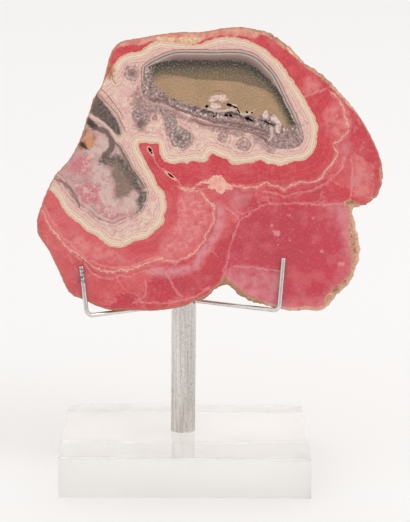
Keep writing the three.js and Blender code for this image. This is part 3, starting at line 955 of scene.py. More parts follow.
def patchy(scale, low, high, seed=0.0):
    """A mask that comes and goes over the stone. Each seed gives another pattern."""
    far_off = (seed * 37, seed * 11, seed * 5)
    moved = place(tree, "ShaderNodeVectorMath", {0: face_mm, 1: far_off}, operation="ADD")
    return fade(tree, noise_value(tree, moved.outputs[0], scale, 3.0), low, high)


def contours(value, repeats, width):
    """Thin lines where a smooth value passes evenly spaced levels, like agate bands."""
    phase = calc(tree, "FRACT", calc(tree, "MULTIPLY", value, repeats))
    return fade(tree, calc(tree, "ABSOLUTE", calc(tree, "SUBTRACT", phase, 0.5)), width, 0.0)


place_u, place_v, _ = place(tree, "ShaderNodeSeparateXYZ", {0: face_mm}).outputs
knobs = place(
    tree, "ShaderNodeTexVoronoi", {"Vector": face_mm, "Scale": 0.24, "Smoothness": 0.6}, feature="SMOOTH_F1"
).outputs["Distance"]
knobs = calc(tree, "MULTIPLY_ADD", wander, 0.12, knobs)
knob_lines = contours(knobs, 4.5, 0.16)
swirl = noise_value(tree, face_mm, 0.16, 3.0, 0.5, 1.6)
swirl_lines = contours(swirl, 11.0, 0.16)
grains = noise_value(tree, face_mm, 2.2, 4.0, 0.65)
sand = noise_value(tree, face_mm, 1.5, 4.0, 0.8)
print("masks ready")

# %% The red mineral, with its fibres
body = blend(tree, mottle(tree, face_mm, 0.12, 2.4), tone(190, 46, 60), tone(210, 62, 72))
body = wash(body, (224, 118, 120), patchy(0.5, 0.5, 0.8, 1), 0.4)
to_cream, _, round_cream = field("cream")
edge_mm, vug_mm, _ = field("edges")
block_place = place(tree, "ShaderNodeCombineXYZ", {
    0: calc(tree, "MULTIPLY_ADD", wander, 3.0, place_u),
    1: calc(tree, "MULTIPLY_ADD", wander, -3.0, place_v)}).outputs[0]
blocks = place(tree, "ShaderNodeTexVoronoi", {"Vector": block_place, "Scale": 0.07}, feature="F1")
block_shade = place(tree, "ShaderNodeSeparateXYZ", {0: blocks.outputs["Color"]}).outputs[0]
block_edge = place(
    tree, "ShaderNodeTexVoronoi", {"Vector": block_place, "Scale": 0.07}, feature="DISTANCE_TO_EDGE"
)
far_out = fade(tree, to_cream, -4.0, -7.0)
body = wash(body, (222, 116, 116), fade(tree, block_shade, 0.5, 0.62), far_out, 0.32)
body = wash(body, (182, 54, 70), fade(tree, block_shade, 0.36, 0.26), far_out, 0.35)
block_line = fade(tree, block_edge.outputs["Distance"], 0.035, 0.0)
body = wash(body, (230, 152, 152), block_line, far_out, patchy(0.3, 0.4, 0.6, 25), 0.5)
fibre_place = place(tree, "ShaderNodeCombineXYZ", {
    0: calc(tree, "MULTIPLY", round_cream, 1.1), 1: calc(tree, "MULTIPLY", to_cream, 0.13)}).outputs[0]
fibres = fade(tree, noise_value(tree, fibre_place, 1.0, 3.0), 0.4, 0.7)
near_crust = times(fade(tree, to_cream, -11.5, -6.0), fade(tree, to_cream, 0.0, -0.6))
body = wash(body, (226, 108, 110), fibres, near_crust, 0.3)
dark_fibres = fade(tree, noise_value(tree, fibre_place, 1.7, 2.0), 0.5, 0.36)
body = wash(body, (178, 40, 56), dark_fibres, near_crust, 0.35)
body = wash(body, (204, 48, 60), near_crust, fade(tree, place_u, -12.0, -4.0), 0.5)
body = wash(body, (214, 118, 112), fade(tree, place_u, -34.0, -50.0), 0.4)
body = wash(body, (216, 102, 106), zone("disc", 0.6), 0.55)
heart = zone("disc_heart", 4.0, 0.6, 2.4)
body = wash(body, (220, 112, 116), heart, 0.6)
body = wash(body, (236, 158, 154), heart, patchy(0.55, 0.4, 0.62, 22), 0.6)
body = wash(body, (206, 84, 92), heart, fade(tree, knobs, 0.5, 0.8), 0.4)
body = wash(body, (226, 138, 132), zone("light_red", 3.0, 0.6, 2.4), patchy(0.35, 0.25, 0.6, 28), 0.75)
body = wash(body, (194, 54, 74), zone("right_lobe", 0.5), 0.85)
body = wash(body, (184, 56, 72), zone("crimson", 5.0, 1.4, 2.5), 0.5)
body = wash(body, (204, 60, 68), zone("hot_red", 1.6, 0.4, 1.6), 0.7)
body = wash(body, (212, 134, 140), zone("lilac_haze", 5.0, 0.8, 3.0), patchy(0.22, 0.2, 0.6, 2), 0.85)
deep_cloud = patchy(0.2, 0.5, 0.72, 27)
body = wash(body, (178, 46, 62), deep_cloud, 0.4)
cloud = patchy(0.16, 0.46, 0.7, 3)
body = wash(body, (224, 126, 128), cloud, 0.3)
lobe_rim = times(zone("right_lobe", 0.5), fade(tree, edge_mm, 7.0, 1.0))
body = wash(body, (222, 138, 144), lobe_rim, patchy(0.25, 0.25, 0.6, 26), 0.6)
body = wash(body, (232, 140, 140), patchy(0.9, 0.5, 0.72, 4), 0.2)
body = wash(body, (238, 154, 152), fade(tree, grains, 0.54, 0.7), 0.26)
body = wash(body, (160, 40, 56), fade(tree, grains, 0.5, 0.3), 0.34)
growth = contours(calc(tree, "MULTIPLY_ADD", wander, 0.5, to_cream), 0.42, 0.08)
body = wash(body, (238, 160, 156), growth, fade(tree, to_cream, -0.5, -2.0), 0.18)
print("red body done")

# %% Pale and brown lines in the red mineral
body = wash(body, (228, 152, 152), thread("pale_thread", 0.12, 0.5, 1.4), patchy(0.5, 0.2, 0.5, 5), 0.5)
haze_near = fade(tree, calc(tree, "MULTIPLY_ADD", wander, 1.4, field("white_thread")[1]), 3.4, 0.2)
body = wash(body, (224, 158, 166), haze_near, patchy(0.34, 0.2, 0.62, 6), 0.62)
body = wash(body, (158, 84, 74), thread("cream_thread", 0.08, 0.3, 1.8, 0.42), 0.45)
body = wash(body, (150, 78, 70), thread("brown_thread", 0.1, 0.3, 1.4), 0.65)
body = wash(body, (230, 136, 130), thread("cream_thread", 0.7, 0.6, 1.4), patchy(1.1, 0.3, 0.5, 7), 0.4)
thin_line = times(thread("cream_thread", 0.12, 0.26, 1.8), patchy(0.7, 0.26, 0.5, 8), 0.85)
body = blend(tree, thin_line, body, tone(234, 180, 160))
fleck = fade(tree, calc(tree, "MULTIPLY_ADD", wander, 2.2, field("fleck")[0]), -0.25, 0.35)
body = wash(body, (232, 156, 162), fleck, 0.6)
blob = zone("cream_blob", 0.3, 0.0, 1.8)
blob_colour = blend(tree, patchy(0.6, 0.4, 0.6, 9), tone(236, 156, 150), tone(232, 190, 164))
blob_colour = wash(blob_colour, (196, 120, 104), fade(tree, grains, 0.46, 0.32), 0.5)
body = blend(tree, blob, body, blob_colour)
print("lines done")

# %% Salmon and tan crust along the top
salmon = blend(tree, patchy(0.45, 0.35, 0.65, 10), tone(214, 128, 114), tone(228, 172, 148))
salmon = wash(salmon, (186, 104, 84), fade(tree, sand, 0.5, 0.34), 0.4)
body = blend(tree, times(zone("salmon_crust", 0.9, 0.2, 1.6), 0.9), body, salmon)
tan = blend(tree, patchy(0.9, 0.35, 0.65, 11), tone(212, 168, 126), tone(242, 214, 176))
tan = wash(tan, (170, 112, 76), fade(tree, sand, 0.5, 0.34), 0.4)
body = blend(tree, times(zone("tan_crust", 0.8, 0.2, 1.6), 0.85), body, tan)
print("top crust done")

# %% The cream crust, band by band
crust_mm = calc(tree, "MULTIPLY_ADD", wander, 0.9, to_cream)
CREAM_BANDS = [
    (0.0, tone(232, 156, 142)), (0.22, tone(238, 188, 166)), (0.4, tone(182, 134, 112)),
    (0.58, tone(224, 200, 170)),
    (0.95, tone(228, 206, 178)), (1.12, tone(190, 156, 130)), (1.3, tone(234, 208, 184)),
    (1.9, tone(238, 214, 192)),
    (2.08, tone(190, 150, 132)), (2.26, tone(236, 206, 186)), (2.8, tone(230, 192, 178)),
    (2.98, tone(188, 140, 128)),
    (3.2, tone(230, 194, 180)), (4.1, tone(228, 184, 172)), (4.3, tone(184, 136, 128)),
    (4.55, tone(230, 194, 180)),
    (6.2, tone(224, 184, 172)), (6.45, tone(186, 142, 134)), (6.7, tone(228, 192, 178)),
    (12.0, tone(222, 182, 170)),
]
crust = ramp(tree, crust_mm, CREAM_BANDS)
deep_in = fade(tree, crust_mm, 2.6, 4.4)
crust = wash(crust, (236, 208, 184), patchy(0.35, 0.46, 0.64, 12), deep_in, 0.7)
crust = wash(crust, (224, 164, 166), patchy(0.3, 0.55, 0.36, 13), deep_in, 0.6)
crust = wash(crust, (172, 124, 122), knob_lines, deep_in, 0.5)
crust = wash(crust, (240, 218, 208), swirl_lines, deep_in, 0.35)
crust = wash(crust, (178, 128, 120), fade(tree, sand, 0.5, 0.36), deep_in, 0.35)
crust = wash(crust, (244, 222, 202), fade(tree, sand, 0.5, 0.68), 0.3)
soft_sand = noise_value(tree, face_mm, 0.9, 3.0, 0.6)
small_knobs = place(
    tree, "ShaderNodeTexVoronoi", {"Vector": face_mm, "Scale": 0.42, "Smoothness": 0.4}, feature="SMOOTH_F1"
).outputs["Distance"]
small_rings = contours(calc(tree, "MULTIPLY_ADD", wander, 0.1, small_knobs), 3.2, 0.2)
haze = times(zone("mauve_haze", 1.2, 0.3, 2.4), 0.9)
haze_colour = blend(tree, fade(tree, soft_sand, 0.36, 0.64), tone(124, 90, 86), tone(180, 150, 142))
haze_colour = blend(tree, fade(tree, small_knobs, 0.5, 0.15), haze_colour, tone(176, 144, 142))
haze_colour = wash(haze_colour, (100, 64, 68), small_rings, 0.75)
haze_colour = wash(haze_colour, (220, 196, 188), swirl_lines, 0.5)
haze_colour = wash(haze_colour, (222, 200, 192), fade(tree, sand, 0.52, 0.7), 0.3)
crust = blend(tree, haze, crust, haze_colour)
haze_edge = calc(tree, "ABSOLUTE", calc(tree, "MULTIPLY_ADD", wander, 2.4, field("mauve_haze")[0]))
crust = wash(crust, (150, 92, 92), fade(tree, haze_edge, 0.35, 0.1), 0.5)
for kind, colour in (("mauve_eye", tone(168, 124, 118)), ("grey_eye", tone(136, 118, 114))):
    inside, share, _ = field(kind)
    inside = calc(tree, "MULTIPLY_ADD", wander, 1.6, inside)
    fill = blend(tree, fade(tree, soft_sand, 0.42, 0.62), colour, tone(204, 184, 176))
    fill = wash(fill, (112, 88, 84), fade(tree, grains, 0.46, 0.34), 0.6)
    crust = blend(tree, times(fade(tree, inside, -0.1, 1.0), 0.85), crust, fill)
    ring = times(contours(inside, 0.7, 0.18), fade(tree, inside, -1.2, -0.2), fade(tree, inside, 3.4, 2.0))
    crust = wash(crust, (136, 82, 78), ring, 0.75)
core = fade(tree, calc(tree, "MULTIPLY_ADD", wander, 1.8, field("dark_core")[0]), -0.3, 1.2)
crust = wash(crust, (104, 76, 70), core, 0.8)
colour = blend(tree, zone("cream", 0.16, 0.0, 0.9), body, crust)
print("cream crust:", len(CREAM_BANDS), "bands")

# %% Lines that follow the cavities from outside
for kind in ("upper_skin", "lower_skin"):
    outside = calc(tree, "MULTIPLY_ADD", wander, 0.5, field(kind)[0])
    near_skin = times(fade(tree, outside, -3.4, -2.6), zone("cream", 0.3, 0.8), 0.55)
    colour = wash(colour, (188, 138, 130), contours(outside, 1.15, 0.16), near_skin)
    colour = wash(colour, (228, 180, 174), fade(tree, outside, -1.5, -0.4), near_skin, 0.6)
print("parallel lines done")

# %% The upper cavity: thin skins, then the tan filling with painted shade under its roof
skin_mm = calc(tree, "MULTIPLY_ADD", wander, 0.35, field("upper_skin")[0])
UPPER_SKINS = [
    (-0.2, tone(220, 178, 164)), (0.0, tone(132, 82, 74)), (0.26, tone(158, 112, 104)),
    (0.5, tone(206, 174, 164)),
    (1.0, tone(184, 162, 150)), (1.25, tone(104, 92, 82)), (1.5, tone(136, 120, 108)),
    (1.8, tone(198, 180, 170)),
    (2.3, tone(156, 128, 122)), (3.4, tone(134, 106, 100)), (4.4, tone(104, 84, 78)),
    (6.0, tone(150, 118, 114)),
]
skins = ramp(tree, skin_mm, UPPER_SKINS)
roof_near = calc(tree, "MULTIPLY", field("roof")[1], fade(tree, place_u, 22.0, 38.0, 1.0, 2.0))
below_roof = fade(tree, roof_near, 4.5, 7.0)
skins = blend(tree, below_roof, skins, haze_colour)
colour = blend(tree, zone("upper_skin", 0.2, 0.0, 0.5), colour, skins)
silt_mm = calc(tree, "MULTIPLY_ADD", wander, 0.8, field("silt_line")[0])
filling_with_roof_shade = blend(tree, fade(tree, silt_mm, -0.6, 0.4), tone(178, 142, 108), tone(126, 106, 80))
filling_with_roof_shade = wash(filling_with_roof_shade, (156, 130, 96), patchy(0.12, 0.4, 0.62, 14), 0.5)
filling_with_roof_shade = wash(filling_with_roof_shade, (112, 88, 70), thread("silt_line", 0.25, 0.5), 0.55)
filling_with_roof_shade = wash(filling_with_roof_shade, (112, 92, 62), fade(tree, sand, 0.48, 0.34), 0.35)
filling_with_roof_shade = wash(filling_with_roof_shade, (202, 170, 132), fade(tree, sand, 0.54, 0.7), 0.3)
# Painted shade: the filling darkens towards the roof, to near black in the last millimetres under it.
filling_with_roof_shade = blend(tree, fade(tree, roof_near, 8.5, 2.6), filling_with_roof_shade, tone(98, 84, 64))
filling_with_roof_shade = blend(tree, fade(tree, roof_near, 4.6, 0.9), filling_with_roof_shade, tone(44, 40, 36))
coarse = fade(tree, roof_near, 9.0, 3.0, 0.3, 0.5)
filling_with_roof_shade = wash(filling_with_roof_shade, (190, 166, 128), fade(tree, sand, 0.5, 0.64), coarse)
filling_with_roof_shade = wash(filling_with_roof_shade, (52, 44, 36), fade(tree, sand, 0.49, 0.36), coarse)
colour = blend(tree, zone("upper_fill", 0.6, 0.0, 1.0), colour, filling_with_roof_shade)
print("upper cavity:", len(UPPER_SKINS), "skins")

# %% Crystals, knobs and soot along the cavity's floor
crystal = place(
    tree, "ShaderNodeTexVoronoi", {"Vector": face_mm, "Scale": 0.8, "Randomness": 0.9}, feature="F1"
)
crystal_point = fade(tree, crystal.outputs["Distance"], 0.55, 0.1)
druse_band = thread("druse", 0.9, 1.0, 1.8)
druse = blend(tree, fade(tree, soft_sand, 0.36, 0.62), tone(98, 76, 70), tone(168, 140, 132))
druse = wash(druse, (240, 222, 212), thread("druse", 0.5, 0.4, 1.2, -0.7), crystal_point)
druse = wash(druse, (214, 190, 178), crystal_point, 0.3)
colour = blend(tree, times(druse_band, 0.8), colour, druse)
knob = blend(tree, patchy(0.9, 0.35, 0.65, 16), tone(206, 166, 152), tone(238, 218, 210))
colour = blend(tree, times(zone("white_knob", 0.5, 0.0, 1.4), 0.85), colour, knob)
soot = times(thread("soot_line", 0.5, 0.7, 1.8), patchy(0.9, 0.42, 0.56, 17))
colour = wash(colour, (54, 42, 36), soot, 0.9)
print("crystals done")

# %% The lower-left cavity
inner_mm = calc(tree, "MULTIPLY_ADD", wander, 0.7, field("lower_skin")[0])
LOWER_SKINS = [
    (-0.2, tone(222, 180, 164)), (0.0, tone(140, 90, 78)), (0.3, tone(192, 150, 138)),
    (0.65, tone(196, 170, 158)),
    (1.0, tone(92, 78, 70)), (1.4, tone(122, 106, 96)), (2.0, tone(176, 152, 144)),
    (4.0, tone(196, 158, 152)),
]
LOWER_FLOOR = [
    (-0.2, tone(228, 196, 174)), (0.1, tone(176, 124, 114)), (0.5, tone(222, 184, 170)),
    (1.2, tone(210, 170, 160)),
    (1.5, tone(156, 106, 106)), (1.9, tone(206, 166, 160)), (2.8, tone(208, 168, 162)),
    (3.1, tone(166, 118, 120)),
    (3.5, tone(204, 160, 156)), (6.0, tone(196, 150, 148)),
]
roof_of_lower = fade(tree, field("lower_roof")[1], 6.5, 4.0)
lower = blend(tree, roof_of_lower, ramp(tree, inner_mm, LOWER_FLOOR), ramp(tree, inner_mm, LOWER_SKINS))
lower = wash(lower, (208, 110, 118), zone("rose_patch", 3.4, 0.2, 3.0), 0.8)
lower = wash(lower, (214, 184, 174), zone("pale_cloud", 2.4, 0.2, 3.5), 0.75)
lower = wash(lower, (178, 122, 124), patchy(0.3, 0.5, 0.66, 18), 0.5)
lower = wash(lower, (222, 196, 186), patchy(0.5, 0.52, 0.66, 19), 0.6)
lower = wash(lower, (150, 96, 98), swirl_lines, 0.3)
lower = wash(lower, (236, 214, 206), knob_lines, 0.15)
magenta = times(zone("rose_patch", 3.4, -1.0, 3.5), fade(tree, soft_sand, 0.44, 0.34))
lower = wash(lower, (146, 72, 82), magenta, 0.45)
# Painted shade under the cavity's upper-right rim: darkest along the rim and lighter away from it, with grain
# on top.
lower_roof_shade = blend(tree, fade(tree, field("lower_roof")[1], 1.0, 5.0), tone(62, 54, 46), tone(124, 102, 88))
lower_roof_shade = wash(lower_roof_shade, (156, 136, 120), fade(tree, soft_sand, 0.46, 0.66), 0.6)
lower_roof_shade = wash(lower_roof_shade, (146, 118, 104), patchy(0.5, 0.5, 0.64, 20), 0.5)
lower = blend(tree, times(zone("lower_dark", 2.0, 0.1, 2.4), 0.92), lower, lower_roof_shade)
lower = wash(lower, (92, 62, 66), core, 0.85)
colour = blend(tree, zone("lower_skin", 0.25, 0.0, 0.5), colour, lower)
print("lower cavity done")

# %% Painted shade in the wedge, then rust and soot at the left edge
# Painted shade: the wedge is filled with a mottled dark grey, and a soft darker fringe runs round it.
wedge_shade = blend(tree, fade(tree, soft_sand, 0.36, 0.66), tone(74, 62, 54), tone(112, 98, 88))
wedge_shade_fringe = fade(tree, calc(tree, "MULTIPLY_ADD", wander, 0.6, field("wedge")[0]), -2.2, -0.3)
colour = wash(colour, (172, 142, 134), wedge_shade_fringe, 0.6)
colour = blend(tree, times(zone("wedge", 0.8, -0.1, 0.7), 0.97), colour, wedge_shade)
rust = blend(tree, patchy(0.35, 0.4, 0.6, 23), tone(150, 96, 56), tone(206, 142, 92))
colour = blend(tree, times(zone("rust", 2.0, 0.0, 2.0), patchy(0.5, 0.25, 0.5, 21), 0.9), colour, rust)
colour = wash(colour, (34, 30, 24), zone("soot_patch", 0.9, -0.1, 1.2), 0.94)
colour = wash(colour, (116, 78, 78), thread("mauve_thread", 0.28, 0.5, 1.2), 0.7)
colour = wash(colour, (98, 76, 72), thread("dark_band", 0.7, 0.7, 1.2), 0.85)
in_crust = zone("cream", 0.3, 1.0)
colour = wash(colour, (152, 100, 90), thread("brown_thread", 0.13, 0.22), in_crust, 0.75)
colour = wash(colour, (224, 196, 186), thread("white_thread", 0.3, 0.4), in_crust, 0.7)
print("left edge done")

# %% Rind, holes and the sawn back
rind_mm, is_back, hole_mm = field("surface")
rind_moved = calc(tree, "MULTIPLY_ADD", wander, 0.8, rind_mm)
on_rind = fade(tree, rind_moved, -0.1, 0.5)
RIND_TONES = [
    (0.0, tone(120, 84, 58)), (0.35, tone(172, 124, 90)), (0.52, tone(204, 160, 122)),
    (0.68, tone(190, 116, 98)), (1.0, tone(224, 192, 160)),
]
rind = ramp(tree, mottle(tree, face_mm, 0.55, 2.4), RIND_TONES)
rind = wash(rind, (232, 206, 178), fade(tree, sand, 0.52, 0.68), 0.5)
rind = wash(rind, (128, 84, 62), fade(tree, sand, 0.48, 0.34), 0.6)
colour = blend(tree, times(on_rind, 0.92), colour, rind)
left_vug = times(fade(tree, vug_mm, -0.8, -0.45), fade(tree, place_u, 0.0, -2.0))
colour = wash(colour, (230, 178, 156), left_vug, 0.8)
edge_moved = calc(tree, "MULTIPLY_ADD", wander, 0.9, edge_mm)
edge_tint = times(fade(tree, edge_moved, 1.1, 0.1), patchy(0.3, 0.25, 0.5, 24), 0.7)
colour = blend(tree, edge_tint, colour, tone(178, 116, 88))
lobe_foot = times(zone("right_lobe", 0.5), fade(tree, edge_moved, 1.9, 0.5), fade(tree, place_u, 26.0, 34.0))
colour = wash(colour, (222, 178, 150), lobe_foot, patchy(0.6, 0.3, 0.5, 29), 0.8)
# Inside the holes the colour goes near black: partly their dark manganese lining, partly painted shade of the
# hollow.
hole_lining_and_shade = fade(tree, hole_mm, 0.05, 0.7)
colour = blend(tree, hole_lining_and_shade, colour, tone(42, 30, 22))
sawn = blend(tree, 0.35, colour, tone(198, 170, 164))
colour = blend(tree, is_back, colour, sawn)
tree.links.new(colour, shader.inputs["Base Color"])
print("rind and back done")

# %% Polish and relief
rough_parts = calc(tree, "MAXIMUM", times(on_rind, 0.6), times(is_back, 0.4))
polish = calc(tree, "ADD", calc(tree, "MULTIPLY", mottle(tree, face_mm, 0.2, 2.0), 0.1), 0.14)
hairlines = scratches(tree, face_mm, (0.3, 2.6, 1.0), 0.06)
roughness = calc(tree, "ADD", calc(tree, "ADD", polish, hairlines), rough_parts)
tree.links.new(roughness, shader.inputs["Roughness"])
rind_grain = times(noise_value(tree, face_mm, 1.8, 5.0, 0.65), on_rind)
crystal_height = times(druse_band, crystal_point, 0.4)
sand_height = times(zone("upper_fill", 0.5), sand, 0.12)
height = calc(tree, "ADD", calc(tree, "ADD", rind_grain, crystal_height), sand_height)
bump = place(tree, "ShaderNodeBump", {"Height": height, "Strength": 0.6, "Distance": 0.4 * MM})
tree.links.new(bump.outputs[0], shader.inputs["Normal"])
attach(stone, "root")
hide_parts("rhodochrosite_slice")
print("nodes in the stone's material:", len(tree.nodes))


# %% [markdown]
# ## The stand
# The wires are stainless spring wire, bent cold in a jig and pushed into two drilled sockets. The post
# is bright aluminium rod: its drawing and handling marks run along it, and it is pitted where it was held.
# The block is cast acrylic. Its top is polished, its sawn sides are only satin, and its edges are a little
# round.

# %% Helpers for turned and swept shapes
POST_XY = Vector((-1.0, 1.5))
WIRE_RADIUS = 0.9
BEND_RADIUS = 2.6
WIRE_START_RADIUS = 2.3  # how far from the post's axis each wire begins
WIRES = {
    "left_wire_arm": {"at_post": 69.8, "corner": (-39.3, -19.3, 69.4), "tip": (-41.8, -15.9, 88.8)},
    "right_wire_arm": {"at_post": 71.5, "corner": (36.8, -19.0, 72.0), "tip": (38.4, -15.3, 92.7)},
}


def new_piece(name, points_mm, faces, material):
    """A smooth mesh object, from points in mm."""
    mesh = bpy.data.meshes.new(name)
    mesh.from_pydata([tuple(MM * c for c in p) for p in points_mm], [], faces)
    mesh.validate()
    mesh.materials.append(material)
    piece = bpy.data.objects.new(name, mesh)
    bpy.context.scene.collection.objects.link(piece)
    mesh.shade_smooth()
    return piece


def stand_for(piece, node):
    """Puts a piece in the place of one CAD node, and keeps its own coordinates for the textures."""
    where = np.empty(3 * len(piece.data.vertices))
    piece.data.vertices.foreach_get("co", where)
    store(piece.data, "place_mm", where.reshape(-1, 3) / MM)
    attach(piece, "root")
    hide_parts(node)
    print(node, "->", piece.name, len(piece.data.vertices), "points")


def tube(path, radii, sides):
    """Points and faces of a closed tube along a path, in mm. Each end closes with a flat disc."""
    points, faces = [], []
    across = Vector((0.3, 1, 0.2))
    for i, (spot, radius) in enumerate(zip(path, radii)):
        along = (path[min(i + 1, len(path) - 1)] - path[max(i - 1, 0)]).normalized()
        across = (across - across.dot(along) * along).normalized()
        beside = along.cross(across)
        for k in range(sides):
            turn = 2 * math.pi * k / sides
            points.append(spot + radius * (math.cos(turn) * across + math.sin(turn) * beside))
    for i in range(len(path) - 1):
        for k in range(sides):
            a, b = i * sides + k, i * sides + (k + 1) % sides
            faces.append((a, b, b + sides, a + sides))
    last = (len(path) - 1) * sides
    faces.append(tuple(reversed(range(sides))))
    faces.append(tuple(range(last, last + sides)))
    return points, faces


def wire_path(wire):
    """The wire's centre line: out of its socket, round the bend and up to the tip."""
    on_axis = Vector((*POST_XY, wire["at_post"]))
    corner, tip = Vector(wire["corner"]), Vector(wire["tip"])
    sideways, upward_way = (corner - on_axis).normalized(), (tip - corner).normalized()
    start = on_axis + WIRE_START_RADIUS * sideways
    turn = sideways.angle(upward_way)
    setback = BEND_RADIUS * math.tan(turn / 2)
    bend_start, bend_end = corner - setback * sideways, corner + setback * upward_way
    inward = (upward_way - upward_way.dot(sideways) * sideways).normalized()
    centre = bend_start + BEND_RADIUS * inward
    path = [start.lerp(bend_start, t) for t in np.linspace(0, 1, 60)[:-1]]
    for t in np.linspace(0, turn, 24):
        path.append(centre + BEND_RADIUS * (math.sin(t) * sideways - math.cos(t) * inward))
    path += [bend_end.lerp(tip, t) for t in np.linspace(0, 1, 40)[1:]]
    return path


print("wires from the post to tips at z", [w["tip"][2] for w in WIRES.values()], "mm")

# %% Steel for the wires
steel, tree, shader = new_material("bright_wire", Metallic=1.0)
place_mm = place(tree, "ShaderNodeAttribute", attribute_name="place_mm").outputs["Vector"]
stain_reach = place(tree, "ShaderNodeAttribute", attribute_name="stain").outputs["Fac"]
blotch = noise_value(tree, place_mm, 0.75, 4.0, 0.7)
dirty = calc(tree, "MULTIPLY", fade(tree, blotch, 0.44, 0.54), stain_reach)
clean = blend(tree, mottle(tree, place_mm, 0.4, 2.0), tone(206, 203, 200), tone(228, 225, 222))
steel_colour = blend(tree, calc(tree, "MULTIPLY", dirty, 0.9), clean, tone(50, 42, 36))
tree.links.new(steel_colour, shader.inputs["Base Color"])
rubbed = scratches(tree, place_mm, (3.0, 3.0, 0.35), 0.15)
dull = calc(tree, "MULTIPLY_ADD", dirty, 0.45, calc(tree, "ADD", rubbed, 0.16))
tree.links.new(dull, shader.inputs["Roughness"])
tree.links.new(calc(tree, "SUBTRACT", 1.0, calc(tree, "MULTIPLY", dirty, 0.8)), shader.inputs["Metallic"])
bump = place(tree, "ShaderNodeBump", {"Height": rubbed, "Strength": 0.15, "Distance": 0.1 * MM})
tree.links.new(bump.outputs[0], shader.inputs["Normal"])
print("steel ready")

# %% Bend the wires
WIRE_SIDES = 32
TIP_STEPS = 6
TIP_ROUND = 0.4
STAIN_FROM_MM, STAIN_TO_MM = 80.5, 83.5
for name, wire in WIRES.items():
    path = wire_path(wire)
    radii = [WIRE_RADIUS] * (len(path) - 1)
    tip = path.pop()
    tipward = (tip - path[-1]).normalized()
    for step in range(TIP_STEPS + 1):
        turn = math.pi / 2 * step / TIP_STEPS
        path.append(tip + (math.sin(turn) - 1) * TIP_ROUND * tipward)
        radii.append(WIRE_RADIUS - TIP_ROUND * (1 - math.cos(turn)))
    points, faces = tube(path, radii, WIRE_SIDES)
    piece = new_piece(name + "_bent", points, faces, steel)
    reach = [(p.z - STAIN_FROM_MM) / (STAIN_TO_MM - STAIN_FROM_MM) for p in points]
    dirtied = np.clip(reach, 0, 1) * name.startswith("left")
    layer = piece.data.attributes.new("stain", "FLOAT", "POINT")
    layer.data.foreach_set("value", dirtied.astype(np.float32))
    stand_for(piece, name)


# %% Aluminium for the post
aluminium, tree, shader = new_material("drawn_aluminium", Metallic=1.0)
place_mm = place(tree, "ShaderNodeAttribute", attribute_name="place_mm").outputs["Vector"]
drawn = place(tree, "ShaderNodeVectorMath", {0: place_mm, 1: (1.4, 1.4, 0.03)},
              operation="MULTIPLY").outputs[0]
streak = fade(tree, noise_value(tree, drawn, 1.0, 4.0, 0.6), 0.36, 0.64)
rod_tone = blend(tree, streak, tone(200, 195, 190), tone(240, 236, 232))
smudge = fade(tree, noise_value(tree, drawn, 0.5, 2.0), 0.42, 0.58)
speck_place = place(tree, "ShaderNodeVectorMath", {0: place_mm, 1: (1.6, 1.6, 0.8)},
                    operation="MULTIPLY").outputs[0]
specks = fade(tree, noise_value(tree, speck_place, 1.0, 4.0, 0.75), 0.56, 0.66)
pits = calc(tree, "MULTIPLY", specks, smudge)
grain = noise_value(tree, place_mm, 1.6, 3.0, 0.7)
peen = noise_value(tree, place_mm, 2.6, 2.0, 0.5)
rod_tone = blend(tree, calc(tree, "MULTIPLY", fade(tree, grain, 0.42, 0.62), 0.4),
                 rod_tone, tone(170, 162, 155))
rod_tone = blend(tree, calc(tree, "MULTIPLY", smudge, 0.3), rod_tone, tone(168, 160, 156))
rod_tone = blend(tree, calc(tree, "MULTIPLY", pits, 0.75), rod_tone, tone(88, 80, 76))
tree.links.new(rod_tone, shader.inputs["Base Color"])
drawn_marks = scratches(tree, place_mm, (2.4, 2.4, 0.1), 0.12)
rod_rough = calc(tree, "ADD", calc(tree, "ADD", drawn_marks, 0.2), calc(tree, "MULTIPLY", pits, 0.3))
tree.links.new(rod_rough, shader.inputs["Roughness"])
rod_height = calc(tree, "SUBTRACT", calc(tree, "MULTIPLY_ADD", peen, 0.5, drawn_marks), pits)
bump = place(tree, "ShaderNodeBump", {"Height": rod_height, "Strength": 0.35, "Distance": 0.15 * MM})
tree.links.new(bump.outputs[0], shader.inputs["Normal"])
print("aluminium ready")

# %% Turn the post and drill its sockets
POST_RADIUS = 5.0
POST_FOOT, POST_TOP = 15.8, 115.8
POST_SIDES = 160
POST_EDGE = 0.5
SOCKET_RADIUS = 1.2
SOCKET_FROM_AXIS = 2.0


def cut(piece, cutter):
    """Cuts one object with another, then removes the cutter."""
    modifier = piece.modifiers.new("cut", "BOOLEAN")
    modifier.object = cutter
    modifier.solver = "EXACT"
    shaped = bpy.data.meshes.new_from_object(piece.evaluated_get(bpy.context.evaluated_depsgraph_get()))
    piece.modifiers.clear()
    piece.data = shaped
    bpy.data.objects.remove(cutter)


straight = np.linspace(POST_FOOT + 2, POST_TOP - 2, 40)
levels = [POST_FOOT, POST_FOOT + POST_EDGE, *straight, POST_TOP - POST_EDGE]
levels.append(POST_TOP)
rod_radii = [POST_RADIUS] * len(levels)
rod_radii[0] = rod_radii[-1] = POST_RADIUS - POST_EDGE
points, faces = tube([Vector((*POST_XY, z)) for z in levels], rod_radii, POST_SIDES)
post = new_piece("drawn_post", points, faces, aluminium)
for wire in WIRES.values():
    on_axis = Vector((*POST_XY, wire["at_post"]))
    sideways = (Vector(wire["corner"]) - on_axis).normalized()
    drill = [on_axis + reach * sideways for reach in (SOCKET_FROM_AXIS, 2 * POST_RADIUS)]
    cut(post, new_piece("drill", *tube(drill, [SOCKET_RADIUS] * 2, 48), aluminium))
post.data.shade_smooth()
post.data.set_sharp_from_angle(angle=math.radians(30))
stand_for(post, "post")


